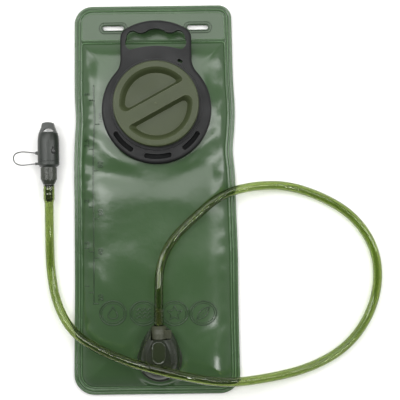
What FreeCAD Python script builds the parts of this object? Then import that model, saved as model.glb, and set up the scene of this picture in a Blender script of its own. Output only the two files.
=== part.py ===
import FreeCAD, Part
import Sketcher
import math
import os

# Hydration bladder, lying on its back: +Z up out of the cap, +Y to the top edge of the bag,
# +X to the right. The origin is under the middle of the bag, on the surface that it lies on.
# All lengths are in millimetres.

V = FreeCAD.Vector
doc = FreeCAD.newDocument("hydration_bladder")

# ---------------------------------------------------------------------------------------------
# Driving dimensions
# ---------------------------------------------------------------------------------------------
SIZES = [
    ("bag_length", 420.0, "outside length of the welded bag"),
    ("bag_half_low", 90.0, "half width at the bottom edge"),
    ("bag_half_high", 84.5, "half width at the top edge"),
    ("corner_high", 14.0, "outside radius of the top corners"),
    ("corner_low", 22.0, "outside radius of the bottom corners"),
    ("film", 0.5, "film thickness"),
    ("weld", 7.0, "width of the edge weld"),
    ("top_strip", 38.0, "flat strip above the cross weld"),
    ("seam_z", 3.5, "height of the joint between the two sheets"),
    ("bag_top", 15.0, "height of the flat top of the bag"),
    ("slot_x", 2.5, "middle of the two hang slots"),
    ("slot_y", 186.5, "height of the hang slots up the bag"),
    ("slot_pitch", 91.5, "distance between the hang slots"),
    ("slot_length", 23.0, "hang slot length"),
    ("slot_width", 4.4, "hang slot width"),
    ("port_x", 3.5, "line of the filler and the outlet"),
    ("neck_y", 101.0, "filler centre"),
    ("neck_bore", 38.0, "filler bore radius"),
    ("neck_wall", 40.8, "neck outside radius under the thread"),
    ("neck_crest", 41.9, "thread crest radius on the neck"),
    ("neck_seat", 42.3, "neck radius inside the handle ring"),
    ("neck_flange", 48.0, "weld flange radius"),
    ("neck_top", 33.0, "height of the neck rim"),
    ("flange_top", 16.6, "height of the weld flange's face"),
    ("ring_radius", 58.4, "handle ring outside radius"),
    ("ring_drop", 4.5, "handle ring centre below the neck centre"),
    ("ring_bore", 42.5, "handle ring bore"),
    ("handle_half", 37.8, "half width of the handle"),
    ("handle_top", 90.0, "top of the handle from the neck centre"),
    ("handle_arch", 63.5, "radius of the handle's top edge"),
    ("shoulder", 12.0, "radius of the handle's shoulders"),
    ("flare", 22.0, "radius between the handle's side and the ring"),
    ("ring_top", 23.6, "height of the handle ring's face"),
    ("lip_top", 25.2, "height of the ring's inner lip"),
    ("window_depth", 4.4, "depth of the pockets in the handle ring"),
    ("cap_radius", 45.2, "cap outside radius"),
    ("cap_inside", 42.5, "cap skirt inside radius"),
    ("cap_low", 25.8, "height of the skirt's edge"),
    ("cap_top", 36.6, "height of the cap's face"),
    ("cap_floor", 28.0, "height of the grip recess floor"),
    ("thread_pitch", 3.0, "rise of the cap in one turn"),
    ("thread_start", 26.6, "height where the neck's thread starts"),
    ("grip_half", 6.9, "half width of the grip bar at its top"),
    ("grip_angle", 28.4, "angle of the grip bar from the X axis"),
    ("port_y", -170.5, "outlet centre"),
    ("axis_z", 27.0, "height of the hose socket's axis"),
    ("port_flange", 24.0, "outlet weld flange radius"),
    ("dome_radius", 22.4, "half width of the housing at the port"),
    ("dome_rear", 20.7, "distance from the centre to the rear end"),
    ("dome_side", 52.0, "radius of the housing's curved sides"),
    ("dome_nose", 34.0, "distance from the centre to the front end"),
    ("dome_low", 18.6, "height of the housing's lower edge"),
    ("dome_top", 38.0, "height of the housing's top"),
    ("socket_bore", 5.5, "socket radius for the plug's nose"),
    ("plug_nose", 5.2, "plug nose radius"),
    ("collar_bore", 8.3, "cradle radius for the plug's collar"),
    ("collar_radius", 8.0, "plug collar radius"),
    ("collar_start", 24.3, "plug collar's rear face from the centre"),
    ("collar_end", 38.0, "plug collar's front face from the centre"),
    ("button_y", 11.0, "button centre from the port centre"),
    ("button_half", 7.5, "half width of the button"),
    ("button_reach", 11.9, "half length of the button"),
    ("button_top", 39.2, "height of the button's face"),
    ("latch_y", 14.0, "rear face of the latch plate"),
    ("hose_outer", 4.75, "hose outside radius"),
    ("hose_inner", 3.2, "hose bore radius"),
    ("barb_crest", 3.5, "crest radius of the hose barbs"),
    ("barb_root", 2.7, "root radius of the hose barbs"),
    ("water_bore", 1.9, "bore through plug and stem"),
    ("barb_length", 17.5, "length of each hose barb"),
    ("valve_x", -113.5, "bite valve axis"),
    ("valve_z", 12.0, "bite valve axis height"),
    ("valve_y", 17.2, "end of the hose against the twist collar"),
    ("stem_radius", 5.4, "outside radius of the valve stem"),
    ("twist_radius", 8.6, "twist collar outside radius"),
    ("twist_length", 19.4, "twist collar length"),
    ("keeper_length", 6.2, "tether ring length"),
    ("cover_radius", 11.5, "dust cover outside radius"),
    ("cover_wall", 1.3, "dust cover wall"),
    ("cover_length", 30.6, "dust cover length to its shoulder"),
    ("loop_length", 11.0, "reach of the pull loop past the shoulder"),
]
sheet = doc.addObject("Spreadsheet::Sheet", "Sizes")
for row, (alias, number, meaning) in enumerate(SIZES, start=1):
    sheet.set("A%d" % row, meaning)
    sheet.set("B%d" % row, str(number))
    sheet.setAlias("B%d" % row, alias)
doc.recompute()


def named(expression):
    """Put the sheet's name in front of each alias in an expression."""
    words = []
    word = ""
    for letter in str(expression) + " ":
        if letter.isalnum() or letter == "_":
            word += letter
            continue
        if word:
            words.append("Sizes." + word if hasattr(sheet, word) and word[0].isalpha() else word)
        word = ""
        words.append(letter)
    return "".join(words).strip()


def size(expression):
    """Value of a number or of an expression in the sheet's aliases."""
    if isinstance(expression, (int, float)):
        return float(expression)
    return float(sheet.evalExpression(named(expression)))


# ---------------------------------------------------------------------------------------------
# Helpers: bodies, sketches and features
# ---------------------------------------------------------------------------------------------
SUB_PARTS = []


def new_body(label, x=0, y=0, z=0):
    """A body whose Placement is bound to the sheet."""
    body = doc.addObject("PartDesign::Body", label)
    body.Label = label
    for axis, place in (("x", x), ("y", y), ("z", z)):
        if place:
            body.setExpression("Placement.Base." + axis, named(place))
    SUB_PARTS.append(body)
    return body


def origin_plane(body, role):
    return [item for item in body.Origin.OriginFeatures if item.Role == role][0]


def new_sketch(body, name, role="XY_Plane", offset=0):
    """A sketch on one of the body's own origin planes, offset along the plane's normal."""
    sketch = body.newObject("Sketcher::SketchObject", name)
    sketch.AttachmentSupport = (origin_plane(body, role), [""])
    sketch.MapMode = "FlatFace"
    if isinstance(offset, str):
        sketch.setExpression("AttachmentOffset.Base.z", named(offset))
        sketch.AttachmentOffset = FreeCAD.Placement(V(0, 0, size(offset)), FreeCAD.Rotation())
    elif offset:
        sketch.AttachmentOffset = FreeCAD.Placement(V(0, 0, offset), FreeCAD.Rotation())
    return sketch


def bind(sketch, kind, references, expression):
    """A dimension of the sketch, bound to the sheet when it is given as an expression."""
    index = sketch.addConstraint(Sketcher.Constraint(kind, *references, size(expression)))
    if isinstance(expression, str):
        sketch.setExpression("Constraints[%d]" % index, named(expression))


def place_point(sketch, edge, end, x, y):
    """Hold one end of an edge at x, y from the sketch's origin."""
    bind(sketch, "DistanceX", (-1, 1, edge, end), x)
    bind(sketch, "DistanceY", (-1, 1, edge, end), y)


def draw_polygon(sketch, corners):
    """A closed polygon with every corner held at its own x and y."""
    points = [V(size(x), size(y), 0) for x, y in corners]
    first = sketch.GeometryCount
    count = len(points)
    for i in range(count):
        sketch.addGeometry(Part.LineSegment(points[i], points[(i + 1) % count]), False)
    for i in range(count):
        after = first + (i + 1) % count
        sketch.addConstraint(Sketcher.Constraint("Coincident", first + i, 2, after, 1))
    for i, (x, y) in enumerate(corners):
        place_point(sketch, first + i, 1, x, y)


def draw_circle(sketch, x, y, radius):
    edge = sketch.addGeometry(Part.Circle(V(size(x), size(y), 0), V(0, 0, 1), size(radius)), False)
    bind(sketch, "Radius", (edge,), radius)
    place_point(sketch, edge, 3, x, y)


def draw_chain(sketch, steps):
    """A closed outline of lines and three-point arcs. Each step is its end point, or a middle
    point and an end point; the outline starts at the last step's end."""
    start = V(size(steps[-1][-1][0]), size(steps[-1][-1][1]), 0)
    first = sketch.GeometryCount
    for step in steps:
        ends = [V(size(x), size(y), 0) for x, y in step]
        if len(ends) == 1:
            sketch.addGeometry(Part.LineSegment(start, ends[0]), False)
        else:
            sketch.addGeometry(arc_through(start, ends[0], ends[1]), False)
        start = ends[-1]
    return first


def arc_through(start, middle, end):
    """Arc of a circle through three points, drawn counter-clockwise about +Z."""
    curve = Part.Arc(start, middle, end).toShape().Curve
    centre = curve.Center
    turn = (middle - start).cross(end - middle).z
    low, high = [math.atan2(p.y - centre.y, p.x - centre.x) for p in (start, end)]
    if turn < 0:
        low, high = high, low
    if high < low:
        high += 2 * math.pi
    return Part.ArcOfCircle(Part.Circle(centre, V(0, 0, 1), curve.Radius), low, high)


def pad(body, name, sketch, length, downward=False):
    feature = body.newObject("PartDesign::Pad", name)
    feature.Profile = sketch
    feature.Reversed = downward
    feature.Length = size(length)
    if isinstance(length, str):
        feature.setExpression("Length", named(length))
    return feature


def pocket(body, name, sketch, length=None, upward=False):
    """Cut down from the sketch, or up when upward; right through when no length is given."""
    feature = body.newObject("PartDesign::Pocket", name)
    feature.Profile = sketch
    feature.Reversed = upward
    if length is None:
        feature.Type = "ThroughAll"
        feature.Midplane = True
        return feature
    feature.Length = size(length)
    if isinstance(length, str):
        feature.setExpression("Length", named(length))
    return feature


def turned(body, name, corners, role="XZ_Plane", cut=False):
    """Turn a polygon of (radius, height) corners about the body's Z axis, or about its Y axis
    when the sketch is on the XY plane."""
    sketch = new_sketch(body, name + "_profile", role)
    draw_polygon(sketch, corners)
    kind = "PartDesign::Groove" if cut else "PartDesign::Revolution"
    feature = body.newObject(kind, name)
    feature.Profile = sketch
    feature.ReferenceAxis = (sketch, ["V_Axis"])
    feature.Angle = 360
    return feature


def loft(body, name, sketches, cut=False, ruled=True):
    kind = "PartDesign::SubtractiveLoft" if cut else "PartDesign::AdditiveLoft"
    feature = body.newObject(kind, name)
    feature.Profile = sketches[0]
    feature.Sections = sketches[1:]
    feature.Ruled = ruled
    return feature


def ringed(body, name, features, count, role="Z_Axis"):
    """Repeat features evenly round one of the body's own axes."""
    pattern = body.newObject("PartDesign::PolarPattern", name)
    pattern.Originals = features
    pattern.Axis = (origin_plane(body, role), [""])
    pattern.Angle = 360
    pattern.Occurrences = count
    body.Tip = pattern
    return pattern


# ---------------------------------------------------------------------------------------------
# Film sheets
# ---------------------------------------------------------------------------------------------
def draw_bag_outline(sketch, inset, inset_low, inset_high, radius_low, radius_high):
    """Tapered outline with round corners. inset is for the sides, the others for the ends."""
    half_length = size("bag_length") / 2
    low, high = -half_length + inset_low, half_length - inset_high
    lean = (size("bag_half_high") - size("bag_half_low")) / size("bag_length")
    half_low = size("bag_half_low") - inset + lean * (low + half_length)
    half_high = size("bag_half_low") - inset + lean * (high + half_length)
    corners = [(half_low, low, radius_low), (half_high, high, radius_high),
               (-half_high, high, radius_high), (-half_low, low, radius_low)]
    edges = []
    for i, (x, y, radius) in enumerate(corners):
        corner = V(x, y, 0)
        before = V(*corners[i - 1][:2], 0) - corner
        after = V(*corners[(i + 1) % 4][:2], 0) - corner
        half_turn = before.getAngle(after) / 2
        reach = radius / math.tan(half_turn)
        inward = (before.normalize() + after.normalize()).normalize()
        centre = corner + inward * (radius / math.sin(half_turn))
        edges.append((corner + before * reach, centre - inward * radius, corner + after * reach))
    steps = []
    for start, middle, end in edges:
        steps.append([(start.x, start.y)])
        steps.append([(middle.x, middle.y), (end.x, end.y)])
    draw_chain(sketch, steps)


# Rise of the front sheet above the weld: inset from the weld line, share of the full rise
FRONT_STEPS = [(0.0, 0.0), (2.0, 0.42), (6.0, 0.80), (13.0, 1.0)]
BACK_STEPS = [(0.0, 0.0), (3.0, 0.65), (8.0, 1.0)]
END_SHARE = 0.5


def bulge(body, name, steps, seam, rise, skin, cut):
    """Loft from the weld line up to the flat of the bag. skin moves it in by the film."""
    sketches = []
    for i, (inset, share) in enumerate(steps):
        level = seam + share * rise
        if cut and i == 0:
            level -= math.copysign(skin, rise)
        sketch = new_sketch(body, "%s_%d" % (name, i), "XY_Plane", level)
        side = size("weld") + inset + skin
        low_end = size("weld") + inset * END_SHARE + skin
        draw_bag_outline(sketch, side, low_end, size("top_strip") + inset + skin, 15.0, 12.0)
        sketches.append(sketch)
    return loft(body, name, sketches, cut)


def hang_slots(body):
    sketch = new_sketch(body, "hang_slots_outline")
    reach = size("slot_length") / 2 - size("slot_width") / 2
    half = size("slot_width") / 2
    for side in (-1, 1):
        x = size("slot_x") + side * size("slot_pitch") / 2
        y = size("slot_y")
        draw_chain(sketch, [[(x + reach, y - half)], [(x + reach + half, y), (x + reach, y + half)],
                            [(x - reach, y + half)], [(x - reach - half, y), (x - reach, y - half)]])
    pocket(body, "hang_slots", sketch)


def film_sheet(label, steps, seam, face, thickness_side):
    """One sheet: a flat welded border and the bulge of the water chamber."""
    body = new_body(label)
    border = new_sketch(body, "border_outline", "XY_Plane", seam)
    draw_bag_outline(border, 0, 0, 0, size("corner_low"), size("corner_high"))
    pad(body, "border", border, "film", downward=thickness_side < 0)
    film = size("film")
    outer_seam = seam + thickness_side * film
    bulge(body, "chamber", steps, outer_seam, face - outer_seam, 0.0, False)
    bulge(body, "hollow", steps, seam, face - thickness_side * film - seam, film, True)
    hang_slots(body)
    return body


front = film_sheet("front_sheet", FRONT_STEPS, size("seam_z"), size("bag_top"), 1)
filler = new_sketch(front, "filler_hole_outline", "XY_Plane", "bag_top")
draw_circle(filler, "port_x", "neck_y", "neck_bore + 1")
pocket(front, "filler_hole", filler, 5.0)
outlet = new_sketch(front, "outlet_hole_outline", "XY_Plane", "bag_top")
draw_circle(outlet, "port_x", "port_y", 7.0)
pocket(front, "outlet_hole", outlet, 5.0)
film_sheet("back_sheet", BACK_STEPS, size("seam_z"), 0.0, -1)
doc.recompute()

# ---------------------------------------------------------------------------------------------
# Filler: neck, handle ring, cap and gasket
# ---------------------------------------------------------------------------------------------
THREAD_BASE = 1.1
THREAD_FACE = 0.5


def thread(body, name, root, crest, low, turns, role):
    """A helical thread from root to crest. It starts on one of the body's upright planes,
    with its lower flank at height low."""
    sketch = new_sketch(body, name + "_profile", role)
    base = THREAD_BASE
    face = THREAD_FACE
    middle = base / 2
    draw_polygon(sketch, [(root, low), (crest, low + middle - face / 2),
                          (crest, low + middle + face / 2), (root, low + base)])
    feature = body.newObject("PartDesign::AdditiveHelix", name)
    feature.Profile = sketch
    feature.ReferenceAxis = (sketch, ["V_Axis"])
    feature.Mode = "pitch-turns-angle"
    feature.Pitch = size("thread_pitch")
    feature.setExpression("Pitch", named("thread_pitch"))
    feature.Turns = turns
    return feature


neck = new_body("neck_collar", "port_x", "neck_y")
turned(neck, "neck_wall", [
    ("neck_bore", "bag_top"), ("neck_flange", "bag_top"), ("neck_flange", "flange_top - 0.6"),
    ("neck_flange - 1", "flange_top"), ("neck_seat", "flange_top"), ("neck_seat", "lip_top"),
    ("neck_wall", "lip_top"), ("neck_wall", "neck_top"), ("neck_bore", "neck_top")])
key = new_sketch(neck, "key_outline", "XY_Plane", "flange_top")
draw_polygon(key, [("neck_seat - 1", -3), ("neck_seat + 1.4", -3), ("neck_seat + 1.4", 3),
                   ("neck_seat - 1", 3)])
ringed(neck, "keys", [pad(neck, "key", key, 3.4)], 4)
thread(neck, "neck_thread", size("neck_wall") - 0.3, size("neck_crest"), size("thread_start"), 1.6,
       "XZ_Plane")

ring = new_body("handle_ring", "port_x", "neck_y")
ring_outline = new_sketch(ring, "handle_outline", "XY_Plane", "flange_top + 0.4")

def arc_middle(centre, start, end):
    """Middle point of the shorter arc from start to end."""
    return centre + ((start - centre) + (end - centre)).normalize() * (start - centre).Length


# The outline is tangent all round: ring, flare, side, shoulder, top, mirrored to the left
drop = size("ring_drop")
ring_centre = V(0, -drop, 0)
flare_reach = size("ring_radius") + size("flare")
flare_x = size("handle_half") + size("flare")
flare_centre = ring_centre + V(flare_x, math.sqrt(flare_reach ** 2 - flare_x ** 2), 0)
flare_low = ring_centre + (flare_centre - ring_centre) * (size("ring_radius") / flare_reach)
flare_high = V(size("handle_half"), flare_centre.y, 0)
top_centre = V(0, size("handle_top") - size("handle_arch"), 0)
shoulder_x = size("handle_half") - size("shoulder")
shoulder_reach = size("handle_arch") - size("shoulder")
shoulder_centre = top_centre + V(shoulder_x, math.sqrt(shoulder_reach ** 2 - shoulder_x ** 2), 0)
shoulder_low = V(size("handle_half"), shoulder_centre.y, 0)
shoulder_high = top_centre + (shoulder_centre - top_centre) * (size("handle_arch") / shoulder_reach)
flare_middle = arc_middle(flare_centre, flare_low, flare_high)
shoulder_middle = arc_middle(shoulder_centre, shoulder_low, shoulder_high)


def right(point):
    return (point.x, point.y)


def left(point):
    return (-point.x, point.y)


draw_chain(ring_outline, [
    [(0, -size("ring_radius") - drop), right(flare_low)],
    [right(flare_middle), right(flare_high)], [right(shoulder_low)],
    [right(shoulder_middle), right(shoulder_high)],
    [(0, size("handle_top")), left(shoulder_high)],
    [left(shoulder_middle), left(shoulder_low)], [left(flare_high)],
    [left(flare_middle), left(flare_low)]])
plate = pad(ring, "handle_plate", ring_outline, "ring_top - flange_top - 0.4")
doc.recompute()


def edges_at(body, height):
    """Names of the body's flat edges at one height."""
    names = []
    for number, edge in enumerate(body.Shape.Edges, start=1):
        if edge.BoundBox.ZLength < 0.01 and abs(edge.BoundBox.ZMin - height) < 0.01:
            names.append("Edge%d" % number)
    return names


crown = ring.newObject("PartDesign::Fillet", "crown")
crown.Base = (plate, edges_at(ring, size("ring_top")))
crown.Radius = 3.4
doc.recompute()
relief = ring.newObject("PartDesign::Fillet", "relief")
relief.Base = (crown, edges_at(ring, size("flange_top") + 0.4))
relief.Radius = 1.2
doc.recompute()
turned(ring, "inner_lip", [
    ("ring_bore - 0.2", "flange_top"), ("neck_flange - 1", "flange_top"), (49.0, "ring_top - 0.6"),
    (48.4, "lip_top - 0.4"), (47.6, "lip_top"), ("ring_bore - 0.2", "lip_top")])
bore = new_sketch(ring, "bore_outline")
draw_circle(bore, 0, 0, "ring_bore")
pocket(ring, "bore", bore)
notch = new_sketch(ring, "notch_outline", "XY_Plane", "flange_top")
draw_polygon(notch, [("ring_bore - 1", -3.2), ("ring_bore + 1.5", -3.2), ("ring_bore + 1.5", 3.2),
                     ("ring_bore - 1", 3.2)])
ringed(ring, "notches", [pocket(ring, "notch", notch, 3.6, upward=True)], 4)
gap = new_sketch(ring, "handle_gap_outline")
draw_chain(gap, [
    [(0, 62.5), (-26.5, 58.6)], [(-31.6, 62.4), (-31.0, 70.5)], [(-28.6, 77.2), (-22.0, 78.6)],
    [(-15.0, 76.4), (-9.0, 78.8)], [(0, 81.0), (9.0, 78.8)], [(15.0, 76.4), (22.0, 78.6)],
    [(28.6, 77.2), (31.0, 70.5)], [(31.6, 62.4), (26.5, 58.6)]])
pocket(ring, "handle_gap", gap)


def window(name, middle_angle, half_angle, inner, outer):
    """A curved pocket in the ring's face between two radii about the ring's own centre."""
    sketch = new_sketch(ring, name + "_outline", "XY_Plane", "ring_top")
    low, mid, high = [math.radians(middle_angle + k * half_angle) for k in (-1, 0, 1)]

    def at(radius, angle):
        return (radius * math.cos(angle), radius * math.sin(angle) - drop)
    draw_chain(sketch, [
        [at(outer, mid), at(outer, high)],
        [at((inner + outer) / 2 + 0.3, high + 0.045), at(inner, high)],
        [at(inner, mid), at(inner, low)],
        [at((inner + outer) / 2 + 0.3, low - 0.045), at(outer, low)]])
    pocket(ring, name, sketch, size("window_depth"))


window("window_left", 224, 13.5, 47.8, 53.4)
window("window_low", 271, 14.5, 47.8, 53.4)
window("window_right", 317, 12.0, 47.8, 53.4)
lanyard = new_sketch(ring, "lanyard_hole_outline")
draw_chain(lanyard, [
    [(28.0, 44.1), (25.4, 43.7)], [(23.4, 45.0)], [(23.0, 47.7), (25.6, 48.1)], [(27.6, 46.8)]])
pocket(ring, "lanyard_hole", lanyard)
doc.recompute()

cap = new_body("screw_cap", "port_x", "neck_y")
turned(cap, "cap_blank", [
    (0, "cap_floor - 2.2"), (34.6, "cap_floor - 2.2"), (35.4, "cap_floor - 1.4"),
    (37.2, "neck_top + 1.6"), ("cap_inside", "neck_top + 1.6"), ("cap_inside", "cap_low"),
    ("cap_radius - 0.6", "cap_low"), ("cap_radius", "cap_low + 0.6"),
    ("cap_radius", "cap_top - 2.2"), ("cap_radius - 0.9", "cap_top - 0.5"),
    ("cap_radius - 2.2", "cap_top"), (0, "cap_top")])


def draw_recess(sketch, radius, chord, large, small, side):
    """A D on one side of the grip bar: the arc at radius, closed by a chord, with a large round
    corner at one end of the bar and a small one at the other."""
    turn = math.radians(size("grip_angle") + (180 if side < 0 else 0))

    def at(x, y):
        return (x * math.cos(turn) - y * math.sin(turn), x * math.sin(turn) + y * math.cos(turn))

    def corner(bend, way):
        """End on the arc, middle and end on the chord of a corner of radius bend."""
        x = math.sqrt((radius - bend) ** 2 - (chord + bend) ** 2)
        outward = V(x, chord + bend, 0).normalize()
        middle = (outward + V(0, -1, 0)).normalize()
        return (at(way * radius * outward.x, radius * outward.y),
                at(way * (x + bend * middle.x), chord + bend + bend * middle.y), at(way * x, chord))
    near_arc, near_middle, near_chord = corner(small, 1)
    far_arc, far_middle, far_chord = corner(large, -1)
    draw_chain(sketch, [[near_middle, near_arc], [at(0, radius), far_arc], [far_middle, far_chord],
                        [near_chord]])


# Recess sections: height, radius, distance of the chord from the middle of the bar, round corners
RECESS_STEPS = [("cap_top", 38.6, "grip_half", 7.0, 3.0), ("cap_top - 2", 36.4, "grip_half + 0.8", 6.2, 2.6),
                ("cap_floor", 32.8, "grip_half + 3.5", 4.0, 2.0)]
for side, word in ((1, "upper"), (-1, "lower")):
    sections = []
    for i, (level, radius, chord, large, small) in enumerate(RECESS_STEPS):
        sketch = new_sketch(cap, "%s_recess_%d" % (word, i), "XY_Plane", level)
        draw_recess(sketch, radius, size(chord), large, small, side)
        sections.append(sketch)
    loft(cap, word + "_recess", sections, cut=True)
core = new_sketch(cap, "bar_core_outline", "XY_Plane", "cap_floor - 2.2")
turn = math.radians(size("grip_angle"))
core_corners = []
for x, y in ((-31, -5.2), (31, -5.2), (31, 5.2), (-31, 5.2)):
    core_corners.append((x * math.cos(turn) - y * math.sin(turn),
                         x * math.sin(turn) + y * math.cos(turn)))
draw_polygon(core, core_corners)
pocket(cap, "bar_core", core, "cap_top - cap_floor", upward=True)
# A quarter turn on and half a pitch down from the neck's thread, so that the flanks clear
thread(cap, "cap_thread", size("cap_inside") + 0.3, size("cap_inside") - 1.3,
       size("thread_start") - 0.25 * size("thread_pitch"), 2.4, "YZ_Plane")

gasket = new_body("cap_gasket", "port_x", "neck_y")
turned(gasket, "seal", [
    ("neck_bore + 0.2", "neck_top + 0.2"), ("neck_wall", "neck_top + 0.2"),
    ("neck_wall", "neck_top + 1.35"), ("neck_bore + 0.2", "neck_top + 1.35")])
doc.recompute()

# ---------------------------------------------------------------------------------------------
# Outlet and quick release. These bodies stand on the port centre.
# ---------------------------------------------------------------------------------------------
flange = new_body("outlet_flange", "port_x", "port_y")
turned(flange, "flange", [
    (5.5, "bag_top"), ("port_flange", "bag_top"), ("port_flange", "bag_top + 0.7"),
    ("port_flange - 0.6", "bag_top + 1.2"), (8.8, "bag_top + 1.2"), (8.8, "bag_top + 2.1"),
    (7.6, "bag_top + 2.1"), (7.6, "bag_top + 3.3"), (8.8, "bag_top + 3.3"),
    (8.8, "bag_top + 4"), (5.5, "bag_top + 4")])

seal = new_body("port_o_ring", "port_x", "port_y")
turned(seal, "seal", [
    (7.6, "bag_top + 2.2"), (8.8, "bag_top + 2.2"), (9.0, "bag_top + 2.7"),
    (8.8, "bag_top + 3.2"), (7.6, "bag_top + 3.2")])

locking = new_body("connector_base_ring", "port_x", "port_y")
turned(locking, "base_ring", [
    (18.6, "bag_top + 1.2"), ("port_flange - 0.7", "bag_top + 1.2"),
    ("port_flange - 0.7", "bag_top + 2.2"), ("port_flange - 1.3", "bag_top + 2.4"),
    ("port_flange - 1.3", "bag_top + 3.2"), ("port_flange - 2", "bag_top + 3.6"),
    (18.6, "bag_top + 3.6")])

housing = new_body("connector_housing", "port_x", "port_y")
# Sections of the bell: height and inset from the outline of the lower edge
DOME_STEPS = [("dome_low", 0.0), ("dome_low + 6", 0.7), ("dome_low + 12.4", 3.0),
              ("dome_low + 17", 6.6), ("dome_top", 9.6)]
side_centre = size("dome_radius") - size("dome_side")
sections = []
for i, (level, inset) in enumerate(DOME_STEPS):
    sketch = new_sketch(housing, "bell_%d" % i, "XY_Plane", level)
    radius = size("dome_radius") - inset
    side = size("dome_side") - inset
    nose = size("dome_nose") - inset * 0.4
    half = side_centre + math.sqrt(side ** 2 - nose ** 2)
    mid_x = side_centre + math.sqrt(side ** 2 - (nose / 2) ** 2)
    draw_chain(sketch, [
        [(0, inset - size("dome_rear")), (radius, 0)], [(mid_x, nose / 2), (half, nose)], [(-half, nose)],
        [(-mid_x, nose / 2), (-radius, 0)]])
    sections.append(sketch)
loft(housing, "bell", sections, ruled=False)
foot = new_sketch(housing, "foot_outline", "XY_Plane", "bag_top + 1.3")
draw_circle(foot, 0, 0, 18.3)
pad(housing, "foot", foot, "dome_low - bag_top - 1.3")
tongue = new_sketch(housing, "tongue_outline", "XY_Plane", "bag_top + 1.3")
draw_polygon(tongue, [(-9, 24.3), (9, 24.3), (9, "dome_nose"), (-9, "dome_nose")])
pad(housing, "tongue", tongue, "dome_low - bag_top")
doc.recompute()
turned(housing, "spigot_recess", [
    (0, "bag_top + 1.3"), (9.05, "bag_top + 1.3"), (9.05, "bag_top + 4.6"), (0, "bag_top + 4.6")],
       cut=True)
riser = new_sketch(housing, "riser_outline", "XY_Plane", "bag_top + 4")
draw_circle(riser, 0, -5, 4)
pocket(housing, "riser", riser, "axis_z - bag_top - 4", upward=True)


def draw_at_axis(name, offset, radius):
    """A circle about the socket's axis on a plane across it; offset is measured along +Y."""
    sketch = new_sketch(housing, name + "_outline", "XZ_Plane", -offset)
    draw_circle(sketch, 0, "axis_z", radius)
    return sketch


# Stepped bore along +Y: start, length and radius of each stretch
BORES = [("poppet_chamber", -14.0, 12.5, 6.0), ("poppet_seat", -2.0, 4.0, 3.6),
         ("nose_socket", 1.0, 40.0, "socket_bore"), ("collar_cradle", 24.0, 40.0, "collar_bore")]
for name, start, length, radius in BORES:
    sketch = draw_at_axis(name, start, radius)
    pocket(housing, name, sketch, length)
mouth = new_sketch(housing, "mouth_outline", "XY_Plane", "dome_top + 1")
draw_polygon(mouth, [("-collar_bore", 24), ("collar_bore", 24), ("collar_bore", 45),
                     ("-collar_bore", 45)])
pocket(housing, "mouth", mouth, "dome_top + 1 - axis_z")
ear_room = new_sketch(housing, "ear_room_outline", "XY_Plane", "dome_top + 1")
draw_polygon(ear_room, [(0, 24), (20, 24), (20, 45), (0, 45)])
pocket(housing, "ear_room", ear_room, "dome_top + 1 - axis_z - 2.6")


def draw_oval(sketch, half, reach):
    """A slot-shaped outline along Y round the button's centre."""
    y = size("button_y")
    straight = reach - half
    draw_chain(sketch, [
        [(half, y + straight)], [(0, y + reach), (-half, y + straight)],
        [(-half, y - straight)], [(0, y - reach), (half, y - straight)]])


well = new_sketch(housing, "well_outline", "XY_Plane", "dome_top + 1")
draw_oval(well, size("button_half") + 0.3, size("button_reach") + 0.3)
pocket(housing, "well", well, "dome_top + 1 - axis_z - socket_bore - 1.2")
slit = new_sketch(housing, "latch_slot_outline", "XY_Plane", "dome_top")
draw_polygon(slit, [(-7.1, "latch_y - 0.3"), (7.1, "latch_y - 0.3"), (7.1, "latch_y + 2.7"),
                    (-7.1, "latch_y + 2.7")])
pocket(housing, "latch_slot", slit, "dome_top - bag_top - 2.4")
doc.recompute()

button = new_body("release_button", "port_x", "port_y")
low_face = new_sketch(button, "pad_outline", "XY_Plane", "axis_z + socket_bore + 4.4")
draw_oval(low_face, size("button_half"), size("button_reach"))
pad(button, "pad", low_face, "button_top - axis_z - socket_bore - 4.4")
dish = new_sketch(button, "dish_outline", "XY_Plane", "button_top")
draw_oval(dish, size("button_half") - 1.6, size("button_reach") - 1.6)
pocket(button, "dish", dish, 0.5)
plate = new_sketch(button, "latch_outline", "XZ_Plane", "-latch_y")
draw_polygon(plate, [(-6.8, 19.6), (6.8, 19.6), (6.8, 37.2), (-6.8, 37.2)])
pad(button, "latch", plate, 2.4, downward=True)
eye = new_sketch(button, "latch_eye_outline", "XZ_Plane", "-latch_y + 1")
draw_chain(eye, [[(0, 21.4), (5.6, 27.0)], [(5.6, 29.9)], [(0, 35.3), (-5.6, 29.9)],
                 [(-5.6, 27.0)]])
pocket(button, "latch_eye", eye, 5.0)
doc.recompute()

plug = new_body("hose_plug", "port_x", "port_y", "axis_z")
turned(plug, "plug", [
    ("water_bore", 1.7), ("plug_nose - 0.6", 1.7), ("plug_nose", 2.6), ("plug_nose", 5.0),
    ("plug_nose - 1.3", 5.0), ("plug_nose - 1.3", 7.0), ("plug_nose", 7.0),
    ("plug_nose", 13.6), ("plug_nose - 1", 13.6), ("plug_nose - 1", 17.0),
    ("plug_nose", 17.8), ("plug_nose", "collar_start"), ("collar_radius", "collar_start"),
    ("collar_radius", "collar_end - 1.4"), ("collar_radius - 1.4", "collar_end"),
    ("barb_root", "collar_end"), ("water_bore", "collar_end")], "XY_Plane")


def barbs(body, start, direction, count):
    """Hose barbs from a shoulder: each rises to its crest and falls steeply back."""
    step = size("barb_length") / count
    corners = [("water_bore", start)]
    for i in range(count):
        foot = start + direction * step * i
        corners.append(("barb_root", foot if i == 0 else foot + direction * 0.1))
        corners.append(("barb_root", foot + direction * step * 0.35))
        corners.append(("barb_crest", foot + direction * (step * 0.35 + 0.3)))
    corners.append(("barb_root - 0.3", start + direction * size("barb_length")))
    corners.append(("water_bore", start + direction * size("barb_length")))
    turned(body, "barbs", corners, "XY_Plane")


barbs(plug, size("collar_end"), 1, 4)
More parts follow.
